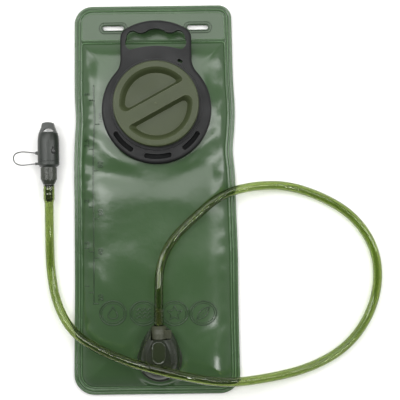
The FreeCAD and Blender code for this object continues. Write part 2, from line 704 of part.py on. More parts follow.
# Sections of the saddle over the collar: distance from the port centre, half width and height
SADDLE_STEPS = [(24.7, 7.9, 9.9), (30.5, 7.8, 9.4), (36.6, 6.6, 7.4)]
saddle_sections = []
for i, (along, wide, tall) in enumerate(SADDLE_STEPS):
    sketch = new_sketch(plug, "saddle_%d" % i, "XZ_Plane", -along)
    draw_chain(sketch, [[(wide, 0)], [(0, tall), (-wide, 0)]])
    saddle_sections.append(sketch)
loft(plug, "saddle", saddle_sections)
ear = new_sketch(plug, "ear_outline", "XY_Plane", 3.1)
draw_polygon(ear, [(4, 25.2), (13.2, 25.2), (13.2, 33.6), (4, 33.6)])
pad(plug, "ear", ear, 2.4)
doc.recompute()

plug_seal = new_body("plug_o_ring", "port_x", "port_y", "axis_z")
turned(plug_seal, "seal", [
    ("plug_nose - 1.3", 5.1), ("plug_nose", 5.1), ("plug_nose + 0.2", 6.0), ("plug_nose", 6.9),
    ("plug_nose - 1.3", 6.9)], "XY_Plane")

poppet = new_body("shutoff_poppet", "port_x", "port_y", "axis_z")
turned(poppet, "poppet", [
    (0, -7.4), (2.0, -7.4), (2.0, -6.2), (5.0, -6.2), (5.0, -5.4), (3.9, -4.4), (1.5, -4.4),
    (1.5, 1.3), (0, 1.3)], "XY_Plane")


def coil(label, x, y, z, axis, turns, height, low_radius, high_radius, wire):
    """A compression spring wound along axis, which is Z or Y."""
    spring = doc.addObject("Part::Feature", label)
    spring.Label = label
    cone = math.degrees(math.atan2(high_radius - low_radius, height))
    helix = Part.makeHelix(height / turns, height, low_radius, cone)
    ring_face = Part.Wire(Part.makeCircle(wire / 2, V(low_radius, 0, 0), V(0, 1, 0)))
    solid = Part.Wire(helix).makePipeShell([ring_face], True, True)
    if axis == "Y":
        solid.rotate(V(0, 0, 0), V(1, 0, 0), -90)
    spring.Shape = solid
    spring.Placement = FreeCAD.Placement(V(x, y, z), FreeCAD.Rotation()).multiply(spring.Placement)
    SUB_PARTS.append(spring)


coil("button_spring", size("port_x"), size("port_y") + 5.5,
     size("axis_z") + size("socket_bore") + 1.6, "Z", 3, 2.4, 5.4, 3.4, 0.5)
coil("poppet_spring", size("port_x"), size("port_y") - 13.6, size("axis_z"), "Y", 4, 6.9, 3.0, 3.0, 0.5)
doc.recompute()

# ---------------------------------------------------------------------------------------------
# Bite valve. These bodies stand on the valve's axis, at the end of the hose.
# ---------------------------------------------------------------------------------------------
VALVE = ("valve_x", "valve_y", "valve_z")
stem = new_body("valve_stem", *VALVE)
turned(stem, "stem", [
    ("water_bore", 0), (5.0, 0), (5.0, 0.6), ("stem_radius", 0.6), ("stem_radius", 8.0),
    ("stem_radius - 1.1", 8.0), ("stem_radius - 1.1", 10.0), ("stem_radius", 10.0),
    ("stem_radius", "twist_length + 0.6"), (7.0, "twist_length + 0.6"),
    (7.0, "twist_length + keeper_length + 0.4"), ("stem_radius", "twist_length + keeper_length + 0.4"),
    ("stem_radius", "twist_length + keeper_length + 6"),
    (6.4, "twist_length + keeper_length + 6.6"), (6.0, "twist_length + keeper_length + 8.4"),
    (3.0, "twist_length + keeper_length + 9.4"), (3.0, 4.0), ("water_bore", 2.0)], "XY_Plane")
barbs(stem, 0.0, -1, 3)

valve_seal = new_body("valve_o_ring", *VALVE)
turned(valve_seal, "seal", [
    ("stem_radius - 1.1", 8.1), ("stem_radius + 0.05", 8.1), ("stem_radius + 0.2", 9.0),
    ("stem_radius + 0.05", 9.9), ("stem_radius - 1.1", 9.9)], "XY_Plane")

twist = new_body("twist_collar", *VALVE)
turned(twist, "sleeve", [
    ("stem_radius + 0.3", 0.9), (6.0, 0.9), ("twist_radius - 0.4", 5.8),
    ("twist_radius - 0.4", "twist_length"), ("stem_radius + 0.3", "twist_length")], "XY_Plane")
rib = new_sketch(twist, "rib_outline", "XZ_Plane", -6.2)
draw_polygon(rib, [("twist_radius - 0.8", -0.45), ("twist_radius", -0.28), ("twist_radius", 0.28),
                   ("twist_radius - 0.8", 0.45)])
ringed(twist, "ribs", [pad(twist, "rib", rib, "twist_length - 7", downward=True)], 24, "Y_Axis")
doc.recompute()

keeper = new_body("tether_ring", *VALVE)
turned(keeper, "keeper", [
    (7.0, "twist_length + 0.4"), ("cover_radius - 2.6", "twist_length + 0.4"),
    ("cover_radius", "twist_length + 2.6"), ("cover_radius", "twist_length + keeper_length"),
    (7.0, "twist_length + keeper_length")], "XY_Plane")
lug = new_sketch(keeper, "lug_outline", "XY_Plane", -1.3)
draw_polygon(lug, [(-14.2, "twist_length + 2.5"), (-9, "twist_length + 2.5"),
                   (-9, "twist_length + 5.1"), (-14.2, "twist_length + 5.1")])
pad(keeper, "lug", lug, 2.6)

bite = new_body("bite_mouthpiece", *VALVE)
seat = size("twist_length") + size("keeper_length")
turned(bite, "sleeve", [
    ("stem_radius", seat + 0.8), (8.6, seat + 0.8), (8.6, seat + 2.2), (7.6, seat + 3.2),
    (7.6, seat + 11.0), (0, seat + 11.0), (0, seat + 9.6), (6.2, seat + 9.6),
    ("stem_radius", seat + 6.0)], "XY_Plane")
# Sections of the bite end: distance from its seat, half width and half height
BITE_STEPS = [(10.8, 7.5, 7.0), (17.0, 8.2, 5.4), (24.0, 8.6, 4.2), (28.0, 7.4, 3.0)]
bite_sections = []
for i, (along, wide, tall) in enumerate(BITE_STEPS):
    sketch = new_sketch(bite, "bite_%d" % i, "XZ_Plane", -(seat + along))
    reach = wide - tall * 0.8
    draw_chain(sketch, [[(-reach, tall)], [(-wide, 0), (-reach, -tall)], [(reach, -tall)],
                        [(wide, 0), (reach, tall)]])
    bite_sections.append(sketch)
loft(bite, "bite_end", bite_sections)
slit = new_sketch(bite, "slit_outline", "XZ_Plane", -(seat + 30))
draw_polygon(slit, [(-4.5, -0.25), (4.5, -0.25), (4.5, 0.25), (-4.5, 0.25)])
pocket(bite, "slit", slit, 19.5, upward=True)
doc.recompute()

cover = new_body("dust_cover", "valve_x", "valve_y + twist_length + keeper_length + 0.4", "valve_z")
turned(cover, "cover", [
    ("cover_radius - cover_wall", 0), ("cover_radius", 0), ("cover_radius", "cover_length - 9"),
    ("cover_radius - 0.5", "cover_length - 4.4"), ("cover_radius - 1.3", "cover_length - 1.2"),
    ("cover_radius - 2.2", "cover_length"),
    (0, "cover_length"), (0, "cover_length - cover_wall"),
    ("cover_radius - 3.2", "cover_length - cover_wall"),
    ("cover_radius - cover_wall", "cover_length - 5")], "XY_Plane")
cover_lug = new_sketch(cover, "lug_outline", "XY_Plane", -1.3)
draw_polygon(cover_lug, [(-14.2, 7.2), (-10.6, 6.2), (-10.6, 11.0), (-14.2, 9.8)])
pad(cover, "lug", cover_lug, 2.6)
loop = new_sketch(cover, "loop_outline", "XY_Plane", -3.2)
shoulder = size("cover_length")
tip = shoulder + size("loop_length")
draw_chain(loop, [
    [(-9.9, shoulder - 1.1)], [(-8.3, shoulder + 2.2), (-7.0, shoulder + 5.4)], [(-6.0, tip - 1.2)],
    [(0, tip), (6.0, tip - 1.2)], [(7.0, shoulder + 5.4)], [(8.3, shoulder + 2.2), (9.9, shoulder - 1.1)]])
loop_pad = pad(cover, "loop", loop, 6.4)
gap = new_sketch(cover, "loop_gap_outline", "XY_Plane", -3.4)
draw_chain(gap, [
    [(0, shoulder + 0.5), (6.1, shoulder + 1.2)], [(0, tip - 6.6), (-6.1, shoulder + 1.2)]])
pocket(cover, "loop_gap", gap, 8.0, upward=True)
doc.recompute()

# The tether: two arms and a half turn
tether = new_body("cover_tether", "valve_x", "valve_y + twist_length + keeper_length", "valve_z")
path = new_sketch(tether, "tether_path")
arm_low = -2.4
arm_high = 9.0
bend = (arm_high - arm_low) / 2
start = V(-14.3, arm_high, 0)
turn_top = V(-30.5, arm_high, 0)
turn_low = V(-30.5, arm_low, 0)
path.addGeometry(Part.LineSegment(start, turn_top), False)
middle = V(-30.5 - bend, (arm_high + arm_low) / 2, 0)
path.addGeometry(arc_through(turn_top, middle, turn_low), False)
path.addGeometry(Part.LineSegment(turn_low, V(-14.3, arm_low, 0)), False)
section = new_sketch(tether, "tether_section", "YZ_Plane", -14.3)
draw_circle(section, arm_high, 0, 0.75)
sweep = tether.newObject("PartDesign::AdditivePipe", "tether_sweep")
sweep.Profile = section
sweep.Spine = (path, [])
doc.recompute()

# ---------------------------------------------------------------------------------------------
# Drinking hose: straight runs joined by tangent arcs
# ---------------------------------------------------------------------------------------------
PLUG_END = V(size("port_x"), size("port_y") + size("collar_end"), size("axis_z"))
VALVE_END = V(size("valve_x"), size("valve_y"), size("valve_z"))
ROUTE = [
    PLUG_END,
    V(3.5, -104.0, 27.0), V(4.5, -70.0, 25.0), V(17.0, -43.0, 24.0), V(41.0, -20.0, 24.0),
    V(69.0, 4.0, 24.0), V(101.0, 13.5, 21.0), V(141.0, 15.0, 10.5), V(181.0, 1.5, 4.8),
    V(214.0, -19.0, 4.8), V(236.5, -52.0, 4.8), V(241.5, -89.0, 4.8), V(231.0, -128.0, 4.8),
    V(205.5, -162.0, 4.8), V(166.0, -183.5, 7.0), V(119.0, -192.5, 16.0), V(73.0, -194.5, 33.0),
    V(27.0, -182.5, 51.0), V(-16.0, -171.5, 51.0), V(-55.0, -160.0, 35.0), V(-89.0, -141.5, 20.0),
    V(-107.5, -111.0, 9.0), V(-114.0, -76.0, 4.8), V(-114.7, -46.0, 5.4), V(-113.5, -13.0, 12.0),
    VALVE_END]


def rounded_path(points):
    """Wire of straight runs with an arc at each inner point, and the list of arc radii."""
    edges = []
    radii = []
    last = points[0]
    for before, corner, after in zip(points, points[1:], points[2:]):
        inward = before - corner
        outward = after - corner
        half_turn = (math.pi - inward.getAngle(outward)) / 2
        reach = 0.45 * min(inward.Length, outward.Length)
        radius = reach / math.tan(half_turn)
        begin = corner + V(inward).normalize() * reach
        end = corner + V(outward).normalize() * reach
        towards = (V(inward).normalize() + V(outward).normalize()).normalize()
        middle = corner + towards * (radius / math.cos(half_turn) - radius)
        edges.append(Part.LineSegment(last, begin).toShape())
        edges.append(Part.Arc(begin, middle, end).toShape())
        radii.append(radius)
        last = end
    edges.append(Part.LineSegment(last, points[-1]).toShape())
    return Part.Wire(edges), radii


def tube(path, radius):
    direction = path.Edges[0].tangentAt(path.Edges[0].FirstParameter)
    ring_wire = Part.Wire(Part.makeCircle(radius, path.Edges[0].Vertexes[0].Point, direction))
    return path.makePipeShell([ring_wire], True, False)


hose_path, hose_radii = rounded_path(ROUTE)
hose = doc.addObject("Part::Feature", "drinking_hose")
hose.Label = "drinking_hose"
hose.Shape = tube(hose_path, size("hose_outer")).cut(tube(hose_path, size("hose_inner")))
SUB_PARTS.append(hose)
print("hose length %.1f mm" % hose_path.Length)
print("hose arc radii", [round(radius) for radius in hose_radii])
section_area = math.pi * (size("hose_outer") ** 2 - size("hose_inner") ** 2)
print("hose volume over section times length: %.4f" %
      (hose.Shape.Volume / (section_area * hose_path.Length)))

# ---------------------------------------------------------------------------------------------
# Checks and export
# ---------------------------------------------------------------------------------------------
doc.recompute()
faults = []
for item in doc.Objects:
    if "Invalid" in item.State or "Error" in item.State:
        faults.append("%s: %s" % (item.Name, item.State))
for item in SUB_PARTS:
    if item.Shape.isNull() or not item.Shape.isValid() or not item.Shape.Solids:
        faults.append("%s has no valid solid" % item.Label)
if faults:
    raise SystemExit("part not written:\n" + "\n".join(faults))
os.makedirs("parts", exist_ok=True)
for item in SUB_PARTS:
    item.Shape.exportStep("parts/%s.step" % item.Label)
    print("%-22s %d solid(s) %9.0f mm3" % (item.Label, len(item.Shape.Solids), item.Shape.Volume))
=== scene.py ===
"""Looks of the hydration bladder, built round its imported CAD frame.

Tables and shape functions are in millimetres, and Blender's own values are in metres. The bag lies
on the floor with its handle towards +Y, and its cap and connector face up.
"""
import math

import bmesh
import bpy
import numpy as np
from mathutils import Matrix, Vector

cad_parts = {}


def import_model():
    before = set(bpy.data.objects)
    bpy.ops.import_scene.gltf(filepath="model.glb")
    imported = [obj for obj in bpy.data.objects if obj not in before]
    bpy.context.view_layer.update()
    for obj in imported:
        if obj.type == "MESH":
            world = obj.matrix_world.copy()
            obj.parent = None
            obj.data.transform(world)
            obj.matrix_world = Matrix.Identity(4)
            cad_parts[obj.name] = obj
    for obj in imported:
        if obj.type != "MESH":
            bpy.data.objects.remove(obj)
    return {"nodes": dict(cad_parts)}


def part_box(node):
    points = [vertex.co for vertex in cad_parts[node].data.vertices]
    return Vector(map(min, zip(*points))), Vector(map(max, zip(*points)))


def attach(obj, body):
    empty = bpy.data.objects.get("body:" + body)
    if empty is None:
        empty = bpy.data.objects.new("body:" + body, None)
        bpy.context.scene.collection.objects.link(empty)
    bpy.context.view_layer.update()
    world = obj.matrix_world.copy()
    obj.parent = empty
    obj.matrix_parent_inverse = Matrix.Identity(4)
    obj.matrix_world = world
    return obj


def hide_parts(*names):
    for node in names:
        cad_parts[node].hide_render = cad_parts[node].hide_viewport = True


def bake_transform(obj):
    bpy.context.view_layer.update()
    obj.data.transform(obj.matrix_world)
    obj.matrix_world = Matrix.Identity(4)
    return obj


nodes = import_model()["nodes"]
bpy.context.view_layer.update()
MM = 0.001


# ---------------------------------------------------------------- camera
CAMERA_HEIGHT = 0.9
CAMERA_PLACE = (0.0485, -0.0006)
CAMERA_TURN = -0.705  # degrees
VIEW_HALF = 0.2176  # half the width of the floor that the camera sees
camera_data = bpy.data.cameras.new("camera")
camera_data.angle = 2 * math.atan(VIEW_HALF / CAMERA_HEIGHT)
camera = bpy.data.objects.new("camera", camera_data)
camera.location = (*CAMERA_PLACE, CAMERA_HEIGHT)
camera.rotation_euler = (0, 0, math.radians(CAMERA_TURN))
bpy.context.scene.collection.objects.link(camera)
bpy.context.scene.camera = camera


# ---------------------------------------------------------------- helpers
def smoothstep(t):
    """Eases from 0 to 1 while t goes from 0 to 1."""
    t = np.clip(t, 0.0, 1.0)
    return t * t * (3 - 2 * t)


def add_mesh(name, verts_mm, faces, smooth=True):
    """A linked mesh object from points in millimetres."""
    mesh = bpy.data.meshes.new(name)
    verts = (np.asarray(verts_mm, float) * MM).tolist()
    mesh.from_pydata(verts, [], [list(map(int, f)) for f in faces])
    mesh.polygons.foreach_set("use_smooth", [smooth] * len(mesh.polygons))
    mesh.update()
    obj = bpy.data.objects.new(name, mesh)
    bpy.context.scene.collection.objects.link(obj)
    return obj


def dress(obj, body, slot, material, *stands_for):
    """Puts a new piece on its body, with its material, in place of CAD nodes. Its slot is not used.
    """
    obj.data.materials.clear()
    obj.data.materials.append(material)
    if body:
        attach(obj, body)
    if stands_for:
        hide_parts(*stands_for)
    return obj


def mesh_of_curve(curve):
    """The mesh that a curve or text makes. The curve itself is removed."""
    holder = bpy.data.objects.new(curve.name, curve)
    bpy.context.scene.collection.objects.link(holder)
    bpy.context.view_layer.update()
    evaluated = holder.evaluated_get(bpy.context.evaluated_depsgraph_get())
    mesh = bpy.data.meshes.new_from_object(evaluated)
    bpy.data.objects.remove(holder)
    bpy.data.curves.remove(curve)
    return mesh


def spline_points(points_mm, resolution):
    """Points read from the NURBS spline that has these control points."""
    curve = bpy.data.curves.new("path", "CURVE")
    curve.dimensions = "3D"
    spline = curve.splines.new("NURBS")
    spline.points.add(len(points_mm) - 1)
    for point, place in zip(spline.points, points_mm):
        point.co = (place[0] * MM, place[1] * MM, place[2] * MM, 1)
    spline.order_u = 3
    spline.use_endpoint_u = True
    spline.resolution_u = resolution
    mesh = mesh_of_curve(curve)
    found = np.array([v.co for v in mesh.vertices]) / MM
    bpy.data.meshes.remove(mesh)
    keep = np.r_[True, np.linalg.norm(np.diff(found, axis=0), axis=1) > 1e-6]
    return found[keep]


def frames_along(path):
    """Two unit normals that don't twist, at each point of a path."""
    tangent = np.gradient(path, axis=0)
    tangent /= np.linalg.norm(tangent, axis=1)[:, None]
    side = np.cross(tangent[0], (0, 0, 1.0))
    if np.linalg.norm(side) < 1e-6:
        side = np.array((1.0, 0, 0))
    sides = []
    for t in tangent:
        side = side - t * (side @ t)
        side /= np.linalg.norm(side)
        sides.append(side)
    sides = np.array(sides)
    return sides, np.cross(tangent, sides)


def tube_mesh(path, outer, inner, around):
    """Points and faces of a closed tube on a path.

    outer and inner are radii at each point, and around is the number of points in a ring. With
    None for inner the tube is solid.
    """
    side, up = frames_along(path)
    count = len(path)
    angle = np.linspace(0, 2 * math.pi, around, endpoint=False)
    spoke = (side[:, None] * np.cos(angle)[None, :, None]
             + up[:, None] * np.sin(angle)[None, :, None])
    walls = [path[:, None] + spoke * np.broadcast_to(outer, count)[:, None, None]]
    if inner is not None:
        walls.append(path[:, None] + spoke * np.broadcast_to(inner, count)[:, None, None])
    verts = np.concatenate([w.reshape(-1, 3) for w in walls])
    faces = []
    for layer in range(len(walls)):
        base = layer * count * around
        for i in range(count - 1):
            for k in range(around):
                m = (k + 1) % around
                here, ahead = base + i * around, base + (i + 1) * around
                quad = [here + k, here + m, ahead + m, ahead + k]
                faces.append(quad if layer == 0 else quad[::-1])
    for end, turn in ((0, -1), (count - 1, 1)):
        if inner is None:
            faces.append([end * around + k for k in range(around)][::turn])
        else:
            for k in range(around):
                m = (k + 1) % around
                o, i = end * around, (count + end) * around
                faces.append([o + k, o + m, i + m, i + k][::turn])
    return verts, faces


# ---------------------------------------------------------------- hose route
HOSE_OUTER = 4.75
HOSE_INNER = 3.2
ROUTE = [
    (3.5, -132.5, 27.0), (3.5, -104.0, 27.0), (4.5, -70.0, 22.5), (17.0, -43.0, 20.4),
    (41.0, -20.0, 20.4), (69.0, 4.0, 20.6), (101.0, 13.5, 19.0), (141.0, 15.0, 9.0),
    (181.0, 1.5, 4.8), (214.0, -19.0, 4.8), (236.5, -52.0, 4.8), (241.5, -89.0, 4.8),
    (231.0, -128.0, 4.8), (205.5, -162.0, 4.8), (166.0, -183.5, 6.0), (119.0, -192.5, 14.0),
    (73.0, -194.5, 28.0), (27.0, -182.5, 44.6), (-16.0, -171.5, 44.6), (-55.0, -160.0, 28.0),
    (-89.0, -141.5, 17.5), (-107.5, -111.0, 8.4), (-114.0, -76.0, 4.8), (-114.7, -46.0, 5.4),
    (-113.5, -13.0, 12.0), (-113.5, 17.2, 12.0),
]
hose_path = spline_points(ROUTE, 30)


# ---------------------------------------------------------------- colours and materials
def linear(r, g, b):
    """Linear colour of an 8-bit sRGB one."""
    def channel(c):
        c /= 255
        return c / 12.92 if c <= 0.04045 else ((c + 0.055) / 1.055) ** 2.4
    return (channel(r), channel(g), channel(b), 1.0)


def scaled(colour, k):
    """A colour k times as bright, up to white."""
    return tuple(min(1.0, c * k) for c in colour[:3]) + (1.0,)


# Values of a noise texture between which its effect goes from least to most
NOISE_LOW, NOISE_HIGH = 0.3, 0.7
# Agreement of the rounded and the plain normal at which an edge's painted highlight starts, and is
# full
HIGHLIGHT_FROM, HIGHLIGHT_TO = 0.985, 0.82


class Surface:
    """A node material in object coordinates: mottled colour, uneven gloss and layers of grain."""

    def __init__(self, name, colour, roughness, **sockets):
        self.material = bpy.data.materials.new(name)
        self.material.use_nodes = True
        self.tree = self.material.node_tree
        self.shader = self.tree.nodes["Principled BSDF"]
        self.coords = self.node("ShaderNodeTexCoord").outputs["Object"]
        self.colour = colour
        self.normal = None
        self.shader.inputs["Base Color"].default_value = colour
        self.shader.inputs["Roughness"].default_value = roughness
        for socket, value in sockets.items():
            self.shader.inputs[socket.replace("_", " ")].default_value = value

    def node(self, kind, **settings):
        """A new node of that kind in this material."""
        made = self.tree.nodes.new(kind)
        for key, value in settings.items():
            setattr(made, key, value)
        return made

    def noise(self, scale, detail=4.0):
        """The output of a noise texture with features of about 1/scale metres."""
        made = self.node("ShaderNodeTexNoise")
        made.inputs["Scale"].default_value = scale
        made.inputs["Detail"].default_value = detail
        self.tree.links.new(self.coords, made.inputs["Vector"])
        return made.outputs["Fac"]

    def mottle(self, scale, low, high, detail=5.0):
        """Colour varies from low to high times the base, in patches of about 1/scale metres."""
        ramp = self.node("ShaderNodeValToRGB")
        ramp.color_ramp.interpolation = "EASE"
        ramp.color_ramp.elements[0].position = NOISE_LOW
        ramp.color_ramp.elements[1].position = NOISE_HIGH
        ramp.color_ramp.elements[0].color = scaled(self.colour, low)
        ramp.color_ramp.elements[1].color = scaled(self.colour, high)
        self.tree.links.new(self.noise(scale, detail), ramp.inputs["Fac"])
        self.tree.links.new(ramp.outputs["Color"], self.shader.inputs["Base Color"])
        self.last_colour = ramp.outputs["Color"]
        return self

    def paint_edge_highlight(self, colour, amount, reach=0.0007):
        """Painted highlight: edges are paler within reach, in metres, standing in for light caught
        on their rounds.
        """
        rounded = self.node("ShaderNodeBevel", samples=6)
        rounded.inputs["Radius"].default_value = reach
        geometry = self.node("ShaderNodeNewGeometry")
        match = self.node("ShaderNodeVectorMath", operation="DOT_PRODUCT")
        self.tree.links.new(rounded.outputs["Normal"], match.inputs[0])
        self.tree.links.new(geometry.outputs["Normal"], match.inputs[1])
        spread = self.node("ShaderNodeMapRange")
        spread.inputs["From Min"].default_value = HIGHLIGHT_FROM
        spread.inputs["From Max"].default_value = HIGHLIGHT_TO
        spread.inputs["To Max"].default_value = amount
        self.tree.links.new(match.outputs["Value"], spread.inputs["Value"])
        mix = self.node("ShaderNodeMix", data_type="RGBA")
        self.tree.links.new(spread.outputs["Result"], mix.inputs["Factor"])
        self.tree.links.new(self.last_colour, mix.inputs[6])
        mix.inputs[7].default_value = colour
        self.tree.links.new(mix.outputs[2], self.shader.inputs["Base Color"])
        return self

    def gloss(self, scale, low, high):
        """Roughness varies from low to high."""
        spread = self.node("ShaderNodeMapRange", interpolation_type="SMOOTHSTEP")
        spread.inputs["From Min"].default_value = NOISE_LOW
        spread.inputs["From Max"].default_value = NOISE_HIGH
        spread.inputs["To Min"].default_value = low
        spread.inputs["To Max"].default_value = high
        self.tree.links.new(self.noise(scale), spread.inputs["Value"])
        self.tree.links.new(spread.outputs["Result"], self.shader.inputs["Roughness"])
        return self

    def grain(self, scale, depth, detail=2.0):
        """Bump of that depth in metres."""
        bump = self.node("ShaderNodeBump")
        bump.inputs["Strength"].default_value = 1.0
        bump.inputs["Distance"].default_value = depth
        self.tree.links.new(self.noise(scale, detail), bump.inputs["Height"])
        if self.normal:
            self.tree.links.new(self.normal, bump.inputs["Normal"])
        self.normal = bump.outputs["Normal"]
        self.tree.links.new(self.normal, self.shader.inputs["Normal"])
        return self


film = (Surface("film", linear(55, 79, 49), 0.30, Specular_IOR_Level=0.55)
        .mottle(9, 0.92, 1.08, 2.0).gloss(22, 0.17, 0.25)
        .grain(1500, 0.00003).grain(90, 0.0002, 2.0)).material
# Darker colour of the raised relief on the film: painted shade along its lines.
film_relief_shade = (Surface("film_relief_shade", linear(41, 61, 37), 0.2, Specular_IOR_Level=0.7)
              .mottle(30, 0.9, 1.1).gloss(60, 0.14, 0.26).grain(1800, 0.00003)).material
# Paler colour of the weld beads: a painted highlight along the weld ridges.
film_weld_highlight = (Surface("film_weld_highlight", linear(88, 116, 82), 0.26, Specular_IOR_Level=0.6)
             .mottle(14, 0.85, 1.15).gloss(40, 0.18, 0.34).grain(1500, 0.00003)).material
# The pale edge colours given to the mouldings below are painted highlights on their rounded edges.
ring_plastic = (Surface("ring_plastic", linear(31, 32, 32), 0.48, Specular_IOR_Level=0.26)
                .mottle(60, 0.88, 1.12).paint_edge_highlight(linear(112, 114, 112), 0.5).gloss(45, 0.42, 0.56)
                .grain(2200, 0.00002)).material
# Near-black matt colour for painted shade in the handle ring's pockets.
pocket_shade = (Surface("pocket_shade", linear(22, 23, 23), 0.8, Specular_IOR_Level=0.1)
                .mottle(60, 0.85, 1.15)).material
neck_plastic = (Surface("neck_plastic", linear(42, 43, 42), 0.4, Specular_IOR_Level=0.5)
                .mottle(60, 0.9, 1.1).gloss(50, 0.34, 0.46).grain(2200, 0.00002)).material
cap_plastic = (Surface("cap_plastic", linear(58, 66, 41), 0.42, Specular_IOR_Level=0.32)
               .mottle(25, 0.93, 1.07).paint_edge_highlight(linear(165, 170, 138), 0.5).gloss(30, 0.38, 0.5)
               .grain(2000, 0.00002)).material
dome_plastic = (Surface("dome_plastic", linear(27, 33, 20), 0.30, Specular_IOR_Level=0.42)
                .mottle(50, 0.88, 1.12).paint_edge_highlight(linear(78, 84, 66), 0.3).gloss(40, 0.25, 0.38)
                .grain(2000, 0.000012)).material
button_plastic = (Surface("button_plastic", linear(34, 42, 23), 0.14,
                          Specular_IOR_Level=0.5, Coat_Weight=0.6, Coat_Roughness=0.06)
                  .mottle(60, 0.92, 1.08).gloss(60, 0.12, 0.2).grain(2000, 0.000008)).material
plug_plastic = (Surface("plug_plastic", linear(50, 53, 36), 0.42, Specular_IOR_Level=0.42)
                .mottle(70, 0.88, 1.12).paint_edge_highlight(linear(112, 114, 92), 0.3).gloss(50, 0.36, 0.52)
                .grain(2200, 0.00003)).material
valve_plastic = (Surface("valve_plastic", linear(36, 40, 31), 0.28, Specular_IOR_Level=0.45)
                 .mottle(80, 0.88, 1.12).paint_edge_highlight(linear(108, 112, 100), 0.35).gloss(60, 0.22, 0.34)
                 .grain(2200, 0.00002)).material
twist_plastic = (Surface("twist_plastic", linear(42, 46, 38), 0.26, Specular_IOR_Level=0.5)
                 .mottle(80, 0.88, 1.12).paint_edge_highlight(linear(120, 124, 112), 0.4).gloss(60, 0.2, 0.32)
                 .grain(700, 0.00022, 1.0)).material
cover_plastic = (Surface("cover_plastic", linear(37, 42, 37), 0.3, Specular_IOR_Level=0.42)
                 .mottle(70, 0.9, 1.1).paint_edge_highlight(linear(100, 104, 98), 0.3).gloss(60, 0.26, 0.38)
                 .grain(2200, 0.000015)).material
# Dark colour of the cover's dimple: painted shade.
dimple_shade_plastic = (Surface("dimple_shade_plastic", linear(22, 25, 21), 0.2, Specular_IOR_Level=0.5)
                .mottle(200, 0.9, 1.1).gloss(200, 0.16, 0.26).grain(3000, 0.00001)).material
tether_rubber = (Surface("tether_rubber", linear(44, 47, 44), 0.45)
                 .mottle(200, 0.9, 1.1).gloss(100, 0.4, 0.55).grain(3000, 0.00002)).material
seal_rubber = (Surface("seal_rubber", linear(34, 34, 34), 0.6)
               .mottle(200, 0.85, 1.15).gloss(120, 0.5, 0.7).grain(4000, 0.00002)).material
silicone = (Surface("silicone", linear(206, 208, 200), 0.4, Subsurface_Weight=0.3)
            .mottle(90, 0.94, 1.04).gloss(90, 0.34, 0.48).grain(2600, 0.00001)).material
spring_steel = (Surface("spring_steel", linear(170, 172, 176), 0.25, Metallic=1.0)
                .mottle(500, 0.85, 1.1).gloss(400, 0.18, 0.34).grain(5000, 0.000005)).material


def clear_for_lamps(surface, tint):
    """Lets lamp light through a clear material, tinted, so that what lies under it is lit."""
    tree = surface.tree
    passed = surface.node("ShaderNodeBsdfTransparent")
    passed.inputs["Color"].default_value = tint
    mix = surface.node("ShaderNodeMixShader")
    path = surface.node("ShaderNodeLightPath")
    tree.links.new(path.outputs["Is Shadow Ray"], mix.inputs["Fac"])
    tree.links.new(surface.shader.outputs["BSDF"], mix.inputs[1])
    tree.links.new(passed.outputs["BSDF"], mix.inputs[2])
    tree.links.new(mix.outputs["Shader"], tree.nodes["Material Output"].inputs["Surface"])
    return surface


def absorbing(surface, colour, density):
    """Fills a clear material with a dye, so that it is darker where it is thicker."""
    dye = surface.node("ShaderNodeVolumeAbsorption")
    dye.inputs["Color"].default_value = colour
    dye.inputs["Density"].default_value = density
    output = surface.tree.nodes["Material Output"]
    surface.tree.links.new(dye.outputs["Volume"], output.inputs["Volume"])
    return surface


VINYL_DYE = (0.44, 0.55, 0.02, 1.0)
VINYL_DENSITY = 600.0
clear_vinyl = (Surface("hose_vinyl", linear(238, 242, 222), 0.04, Transmission_Weight=1.0,
                       IOR=1.42, Specular_IOR_Level=0.28)
               .mottle(30, 0.94, 1.0).gloss(100, 0.02, 0.05).grain(200, 0.000008))
clear_for_lamps(clear_vinyl, linear(236, 238, 230))
hose_vinyl = absorbing(clear_vinyl, VINYL_DYE, VINYL_DENSITY).material

CAD_FINISH = {
    "handle_ring": ring_plastic, "neck_collar": neck_plastic, "screw_cap": cap_plastic,
    "cap_gasket": seal_rubber, "outlet_flange": dome_plastic, "port_o_ring": seal_rubber,
    "connector_base_ring": dome_plastic, "connector_housing": dome_plastic,
    "release_button": button_plastic, "button_spring": spring_steel, "shutoff_poppet": neck_plastic,
    "poppet_spring": spring_steel, "hose_plug": plug_plastic, "plug_o_ring": seal_rubber,
    "valve_stem": valve_plastic, "valve_o_ring": seal_rubber, "bite_mouthpiece": silicone,
    "twist_collar": twist_plastic, "tether_ring": cover_plastic, "dust_cover": cover_plastic,
}


def map_range(tree, values, source):
    """The output of a Map Range node on a source socket, with values for its other sockets."""
    spread = tree.nodes.new("ShaderNodeMapRange")
    for socket, value in values.items():
        spread.inputs[socket].default_value = value
    tree.links.new(source, spread.inputs["Value"])
    return spread.outputs["Result"]


def paint_shade_below(material, top, depth, share):
    """Paints shade into a part's colour: darkens it to share of it, from its face at height top down
    to depth below it.

    Heights are in metres. The face itself, and FACE_BAND below it, keep their colour.
    """
    tree = material.node_tree
    shader = tree.nodes["Principled BSDF"]
    before = shader.inputs["Base Color"].links[0].from_socket
    place = tree.nodes.new("ShaderNodeSeparateXYZ")
    tree.links.new(tree.nodes.new("ShaderNodeTexCoord").outputs["Object"], place.inputs[0])
    fade = map_range(tree, {"From Min": top - depth, "From Max": top - FACE_BAND,
                            "To Min": share, "To Max": 1.0}, place.outputs["Z"])
    dark = tree.nodes.new("ShaderNodeVectorMath")
    dark.operation = "SCALE"
    tree.links.new(before, dark.inputs[0])
    tree.links.new(fade, dark.inputs["Scale"])
    tree.links.new(dark.outputs["Vector"], shader.inputs["Base Color"])


FACE_BAND = 0.0009
# Painted shade on the handle ring's walls and pockets, darker the further they lie below its top
# face.
paint_shade_below(ring_plastic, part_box("handle_ring")[1][2], 0.003, 0.25)
for node, finish in CAD_FINISH.items():
    nodes[node].data.materials.clear()
    nodes[node].data.materials.append(finish)

